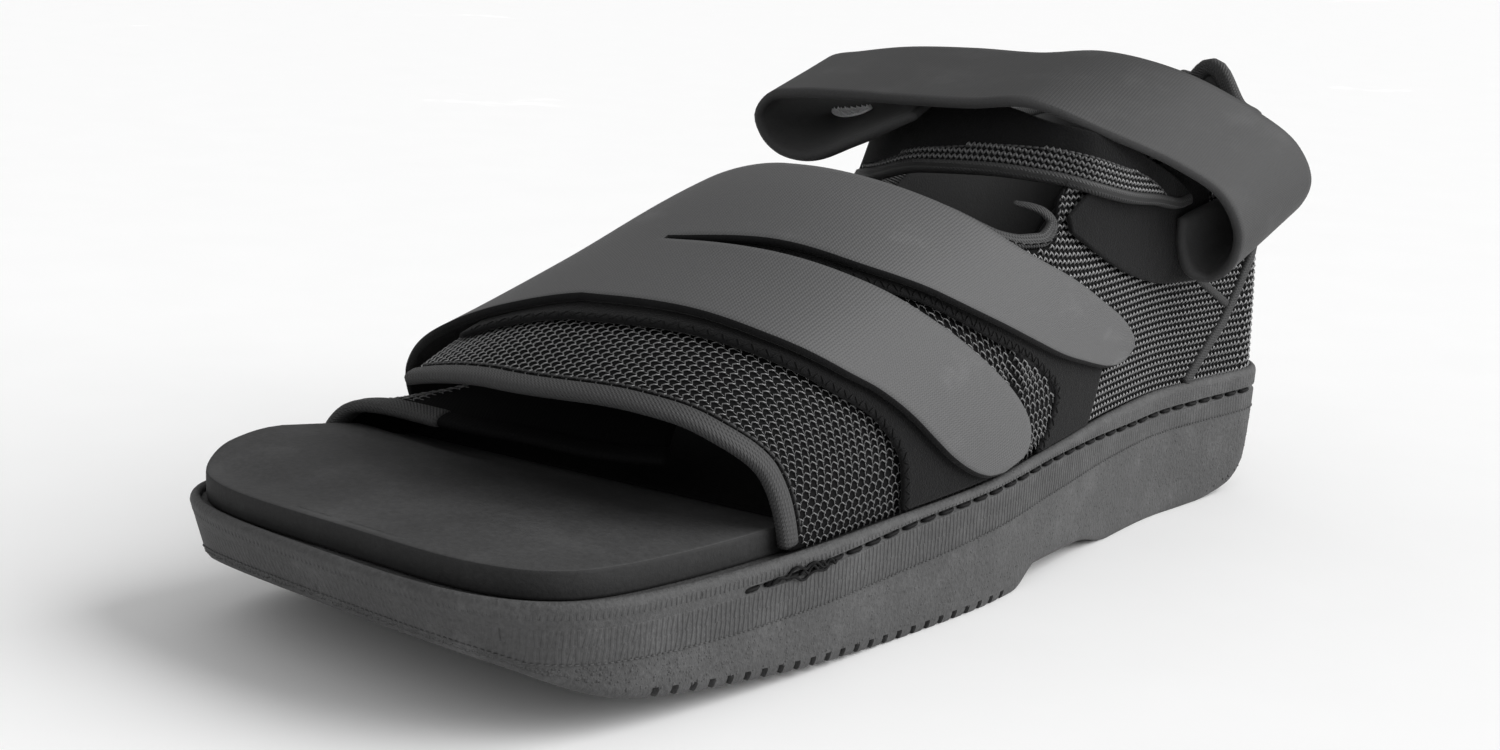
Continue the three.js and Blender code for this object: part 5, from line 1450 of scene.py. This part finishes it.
class SHOE_OT_ankle_strap(bpy.types.Operator):
    """Loose ankle strap: folded up from the heel, arched over the ankle, with a curled free end"""

    bl_idname = "shoe.ankle_strap"
    bl_label = "Ankle Strap"

    def execute(self, context):
        finish = materials()
        grid = smooth_rows(ankle_strap_rows(20), 220)
        normals = grid_normals(grid)
        outer, inner = grid + normals * ANKLE_STRAP_HALF, grid - normals * ANKLE_STRAP_HALF
        if normals[150, 10, 2] < 0:
            outer, inner = inner, outer
        strap = shell("shoe_ankle_strap", outer, inner,
                      [finish["ankle"], finish["inner_lining"], finish["inner_lining"]])
        finish_piece(strap, "ankle_strap", "ankle_strap")
        patch = self.hook_patch_and_glint(finish, grid, unit(inner - grid))
        declare_cloth(grid)
        return {"FINISHED"}

    def hook_patch_and_glint(self, finish, grid, inward):
        """Small pale patch of hook tape on the inside of the folded tail, and its hooks; their pale colour is partly
        the tape's own and partly a painted glint.
        """
        def place(t, k, offset):
            row = lerp(HOOK_ROWS[0], HOOK_ROWS[1], t)
            half = 1.15 * np.sqrt(np.maximum(1 - (2 * t - 1) ** 2, 0.02))
            column = HOOK_COLUMN + half * (2 * k - 1)
            i, j = np.clip(row.astype(int), 0, len(grid) - 2), np.clip(column.astype(int), 0, grid.shape[1] - 2)
            u, v = (row - i)[..., None], (column - j)[..., None]

            def read(a):
                return lerp(lerp(a[i, j], a[i + 1, j], u), lerp(a[i, j + 1], a[i + 1, j + 1], u), v)
            return read(grid) + unit(read(inward)) * np.asarray(offset)[..., None]

        t, k = shares(20, 6)
        patch = shell("shoe_hook_patch", place(t, k, 1.7), place(t, k, 1.15), [finish["hook_and_glint"]] * 3)
        hooks = knit("shoe_hooks", place, 1.75, (1, 1), (14, 4), nub(0.8, 0.7), finish["hook_and_glint"], loose=0.5)
        return [finish_piece(piece, "ankle_strap") for piece in (patch, hooks)]


class SHOE_OT_stitching(bpy.types.Operator):
    """Welt stitches on the sole, rows along the tapes and zigzags round the velour panels"""

    bl_idname = "shoe.stitching"
    bl_label = "Stitching"

    def execute(self, context):
        finish, sizes = materials(), context.scene.shoe_sizes
        s = np.linspace(WELT_START + 1, 266, 200)
        paths = []
        for side in (1, -1):
            half = sole_half(s)
            z = SOLE_RIM.z(s) - WELT_BELOW.below(s)
            points = np.stack([side * (half - wall_inset(s, z) - 0.3), s - LENGTH / 2, z], -1)
            tangent = np.gradient(points, axis=0)
            facing = unit(np.cross(tangent, np.array([0, 0, 1.0]))) * side
            paths.append((points, facing))
        welt = sew("shoe_welt_stitches", paths, thread_stitch(4.6, 0.9), finish["thread"], sizes.welt_pitch / MM)
        finish_piece(welt, "sole")

        pitch = sizes.seam_pitch / MM
        angles = np.linspace(4, 115, 160)
        place = NEAR_FLAP.front(angles) + 4.7
        edge = [(on_form(place, angles, lap_lift(angles) + 1.75), form_normal(place, angles))]
        t = np.linspace(0.3, 0.95, 120)
        points = ankle_point(t, ANKLE_TAPE_UP + ANKLE_LENS.tall(t))
        out = unit(np.stack([points[:, 0], points[:, 1] - (ANKLE_AXIS_S - LENGTH / 2), 0 * t], -1))
        edge.append((points + 1.1 * out, out))
        ridge = sew("shoe_edge_stitches", edge, thread_stitch(1.5, 0.7), finish["tape"], 1.6)
        finish_piece(ridge, "tape")
        rows = []
        girth = np.linspace(150, WALL_MIRROR - 150, 260)
        z = collar_height(girth) + 0.9
        rows.append((on_wall(girth, z, 2.7 + 0 * z), wall_normal(girth, z)))
        seams = sew("shoe_tape_stitches", rows, thread_stitch(1.7, 0.42), finish["thread"], pitch)
        finish_piece(seams, "tape")

        zigzags = []
        t = np.linspace(0.03, 0.99, 150)
        for table, k in ((FRONT_PANEL, 0.02), (REAR_PANEL, 0.04)):
            place = band(table)
            points = place(t, k + 0 * t, PANEL_OUT + 0.05)
            zigzags.append((points, unit(place(t, k + 0 * t, PANEL_OUT + 1) - points)))
        zigzag = sew("shoe_zigzag_stitches", zigzags, thread_stitch(1.8, 0.34), finish["thread"],
                     sizes.zigzag_pitch / MM, swing=58)
        finish_piece(zigzag, "velour")
        self.loose_thread(finish)
        return {"FINISHED"}

    def loose_thread(self, finish):
        """Frayed thread ends where the welt seam begins on the outer side."""
        for number, (start, reach, rise, waves) in enumerate(((62, 16, 1.4, 3), (66, 13, -0.8, 2), (70, 11, 0.6, 4))):
            t = np.linspace(0, 1, 60)
            s = start + reach * t
            wave = rise * np.sin(math.pi * t) + 0.5 * np.sin(waves * 2 * math.pi * t)
            z = SOLE_RIM.z(s) - WELT_BELOW.below(s) + wave
            out = 0.35 + 0.35 * np.abs(np.sin(waves * math.pi * t))
            points = np.stack([sole_half(s) - wall_inset(s, z) + out, s - LENGTH / 2, z], -1)
            facing = np.tile([1.0, 0, 0], (60, 1))
            piece = tape_bar("shoe_loose_thread_%d" % number, points, facing, 0.55, 0.55, [finish["thread"]], 6)
            finish_piece(piece, "sole")


# Camera solved from the photograph: place in metres, yaw, pitch and roll in degrees, lens in pixels of its width
CAMERA_PLACE, CAMERA_TURN = (0.32839, -0.3835, 0.14566), (42.51, 11.79, 2.03)
CAMERA_LENS, PHOTO_WIDTH, SENSOR_WIDTH = 2295.5, 1500, 36
KEY_FROM, FILL_FROM = (1.0, 0.85, 0.7), (0.3, -0.9, 0.36)


class SHOE_OT_stage(bpy.types.Operator):
    """Pale floor, soft studio lights and the camera"""

    bl_idname = "shoe.stage"
    bl_label = "Stage"

    def execute(self, context):
        stage = context.scene.shoe_stage
        mesh = bpy.data.meshes.new("floor")
        mesh.from_pydata([(-12, -12, 0), (12, -12, 0), (12, 12, 0), (-12, 12, 0)], [], [(0, 1, 2, 3)])
        floor = bpy.data.objects.new("floor", mesh)
        context.scene.collection.objects.link(floor)
        mesh.materials.append(make_material("Studio floor", stage.floor, 0.75, 0.5, 0, 0.2, grainy(40, 400, 0.1, 0.01)))
        world = bpy.data.worlds.new("Studio")
        world.use_nodes = True
        sky = next(n for n in world.node_tree.nodes if n.type == "BACKGROUND")
        sky.inputs["Color"].default_value = (1, 1, 1, 1)
        sky.inputs["Strength"].default_value = stage.sky
        context.scene.world = world
        context.scene.view_settings.view_transform = "Standard"
        for name, power, place in (("key", stage.key, KEY_FROM), ("fill", stage.fill, FILL_FROM)):
            lamp = bpy.data.lights.new(name, "SUN")
            lamp.energy, lamp.angle = power, stage.key_spread
            made = bpy.data.objects.new(name, lamp)
            back = unit(np.array(place))
            right = unit(np.cross((0, 0, 1), back))
            made.matrix_world = self.aimed(place, right, np.cross(back, right), back)
            context.scene.collection.objects.link(made)
        self.camera(context)
        return {"FINISHED"}

    def aimed(self, place, right, up, back):
        matrix = Matrix(np.stack([right, up, back], -1).tolist()).to_4x4()
        matrix.translation = place
        return matrix

    def camera(self, context):
        yaw, pitch, roll = (math.radians(a) for a in CAMERA_TURN)
        back = np.array([math.sin(yaw) * math.cos(pitch), -math.cos(yaw) * math.cos(pitch), math.sin(pitch)])
        right = np.array([math.cos(yaw), math.sin(yaw), 0])
        up = np.cross(back, right)
        right, up = right * math.cos(roll) + up * math.sin(roll), -right * math.sin(roll) + up * math.cos(roll)
        lens = bpy.data.cameras.new("camera")
        lens.sensor_fit, lens.sensor_width = "HORIZONTAL", SENSOR_WIDTH
        lens.lens = CAMERA_LENS / PHOTO_WIDTH * SENSOR_WIDTH
        lens.clip_start, lens.clip_end = 0.01, 60
        made = bpy.data.objects.new("camera", lens)
        made.matrix_world = self.aimed(CAMERA_PLACE, right, up, back)
        context.scene.collection.objects.link(made)
        context.scene.camera = made


class SHOE_PT_panel(bpy.types.Panel):
    """Sizes, colours and the steps that build the shoe"""

    bl_idname = "SHOE_PT_panel"
    bl_label = "Postoperative Shoe"
    bl_space_type = "VIEW_3D"
    bl_region_type = "UI"
    bl_category = "Shoe"

    def draw(self, context):
        scene = context.scene
        for title, group in (("Sizes", scene.shoe_sizes), ("Finish", scene.shoe_finish), ("Stage", scene.shoe_stage)):
            box = self.layout.box()
            box.label(text=title)
            for name in group.bl_rna.properties.keys():
                if name not in ("rna_type", "name"):
                    box.prop(group, name)
        for step in STEPS:
            self.layout.operator(step.bl_idname)


STEPS = (SHOE_OT_stage, SHOE_OT_outsole, SHOE_OT_footbed, SHOE_OT_forefoot_flaps, SHOE_OT_rear_foot,
         SHOE_OT_loop_panels, SHOE_OT_forefoot_strap, SHOE_OT_edge_tapes, SHOE_OT_ankle_flap,
         SHOE_OT_ankle_strap, SHOE_OT_stitching)
CLASSES = (ShoeSizes, ShoeFinish, ShoeStage, *STEPS, SHOE_PT_panel)
GROUPS = {"shoe_sizes": ShoeSizes, "shoe_finish": ShoeFinish, "shoe_stage": ShoeStage}


def register():
    for each in CLASSES:
        bpy.utils.register_class(each)
    for name, group in GROUPS.items():
        setattr(bpy.types.Scene, name, PointerProperty(type=group))


def unregister():
    for name in GROUPS:
        delattr(bpy.types.Scene, name)
    for each in reversed(CLASSES):
        bpy.utils.unregister_class(each)


def main():
    register()
    bpy.ops.shoe.stage()
    bpy.ops.shoe.outsole()
    bpy.ops.shoe.footbed()
    bpy.ops.shoe.forefoot_flaps()
    bpy.ops.shoe.rear_foot()
    bpy.ops.shoe.loop_panels()
    bpy.ops.shoe.forefoot_strap()
    bpy.ops.shoe.edge_tapes()
    bpy.ops.shoe.ankle_flap()
    bpy.ops.shoe.ankle_strap()
    bpy.ops.shoe.stitching()


if __name__ == "__main__":
    main()
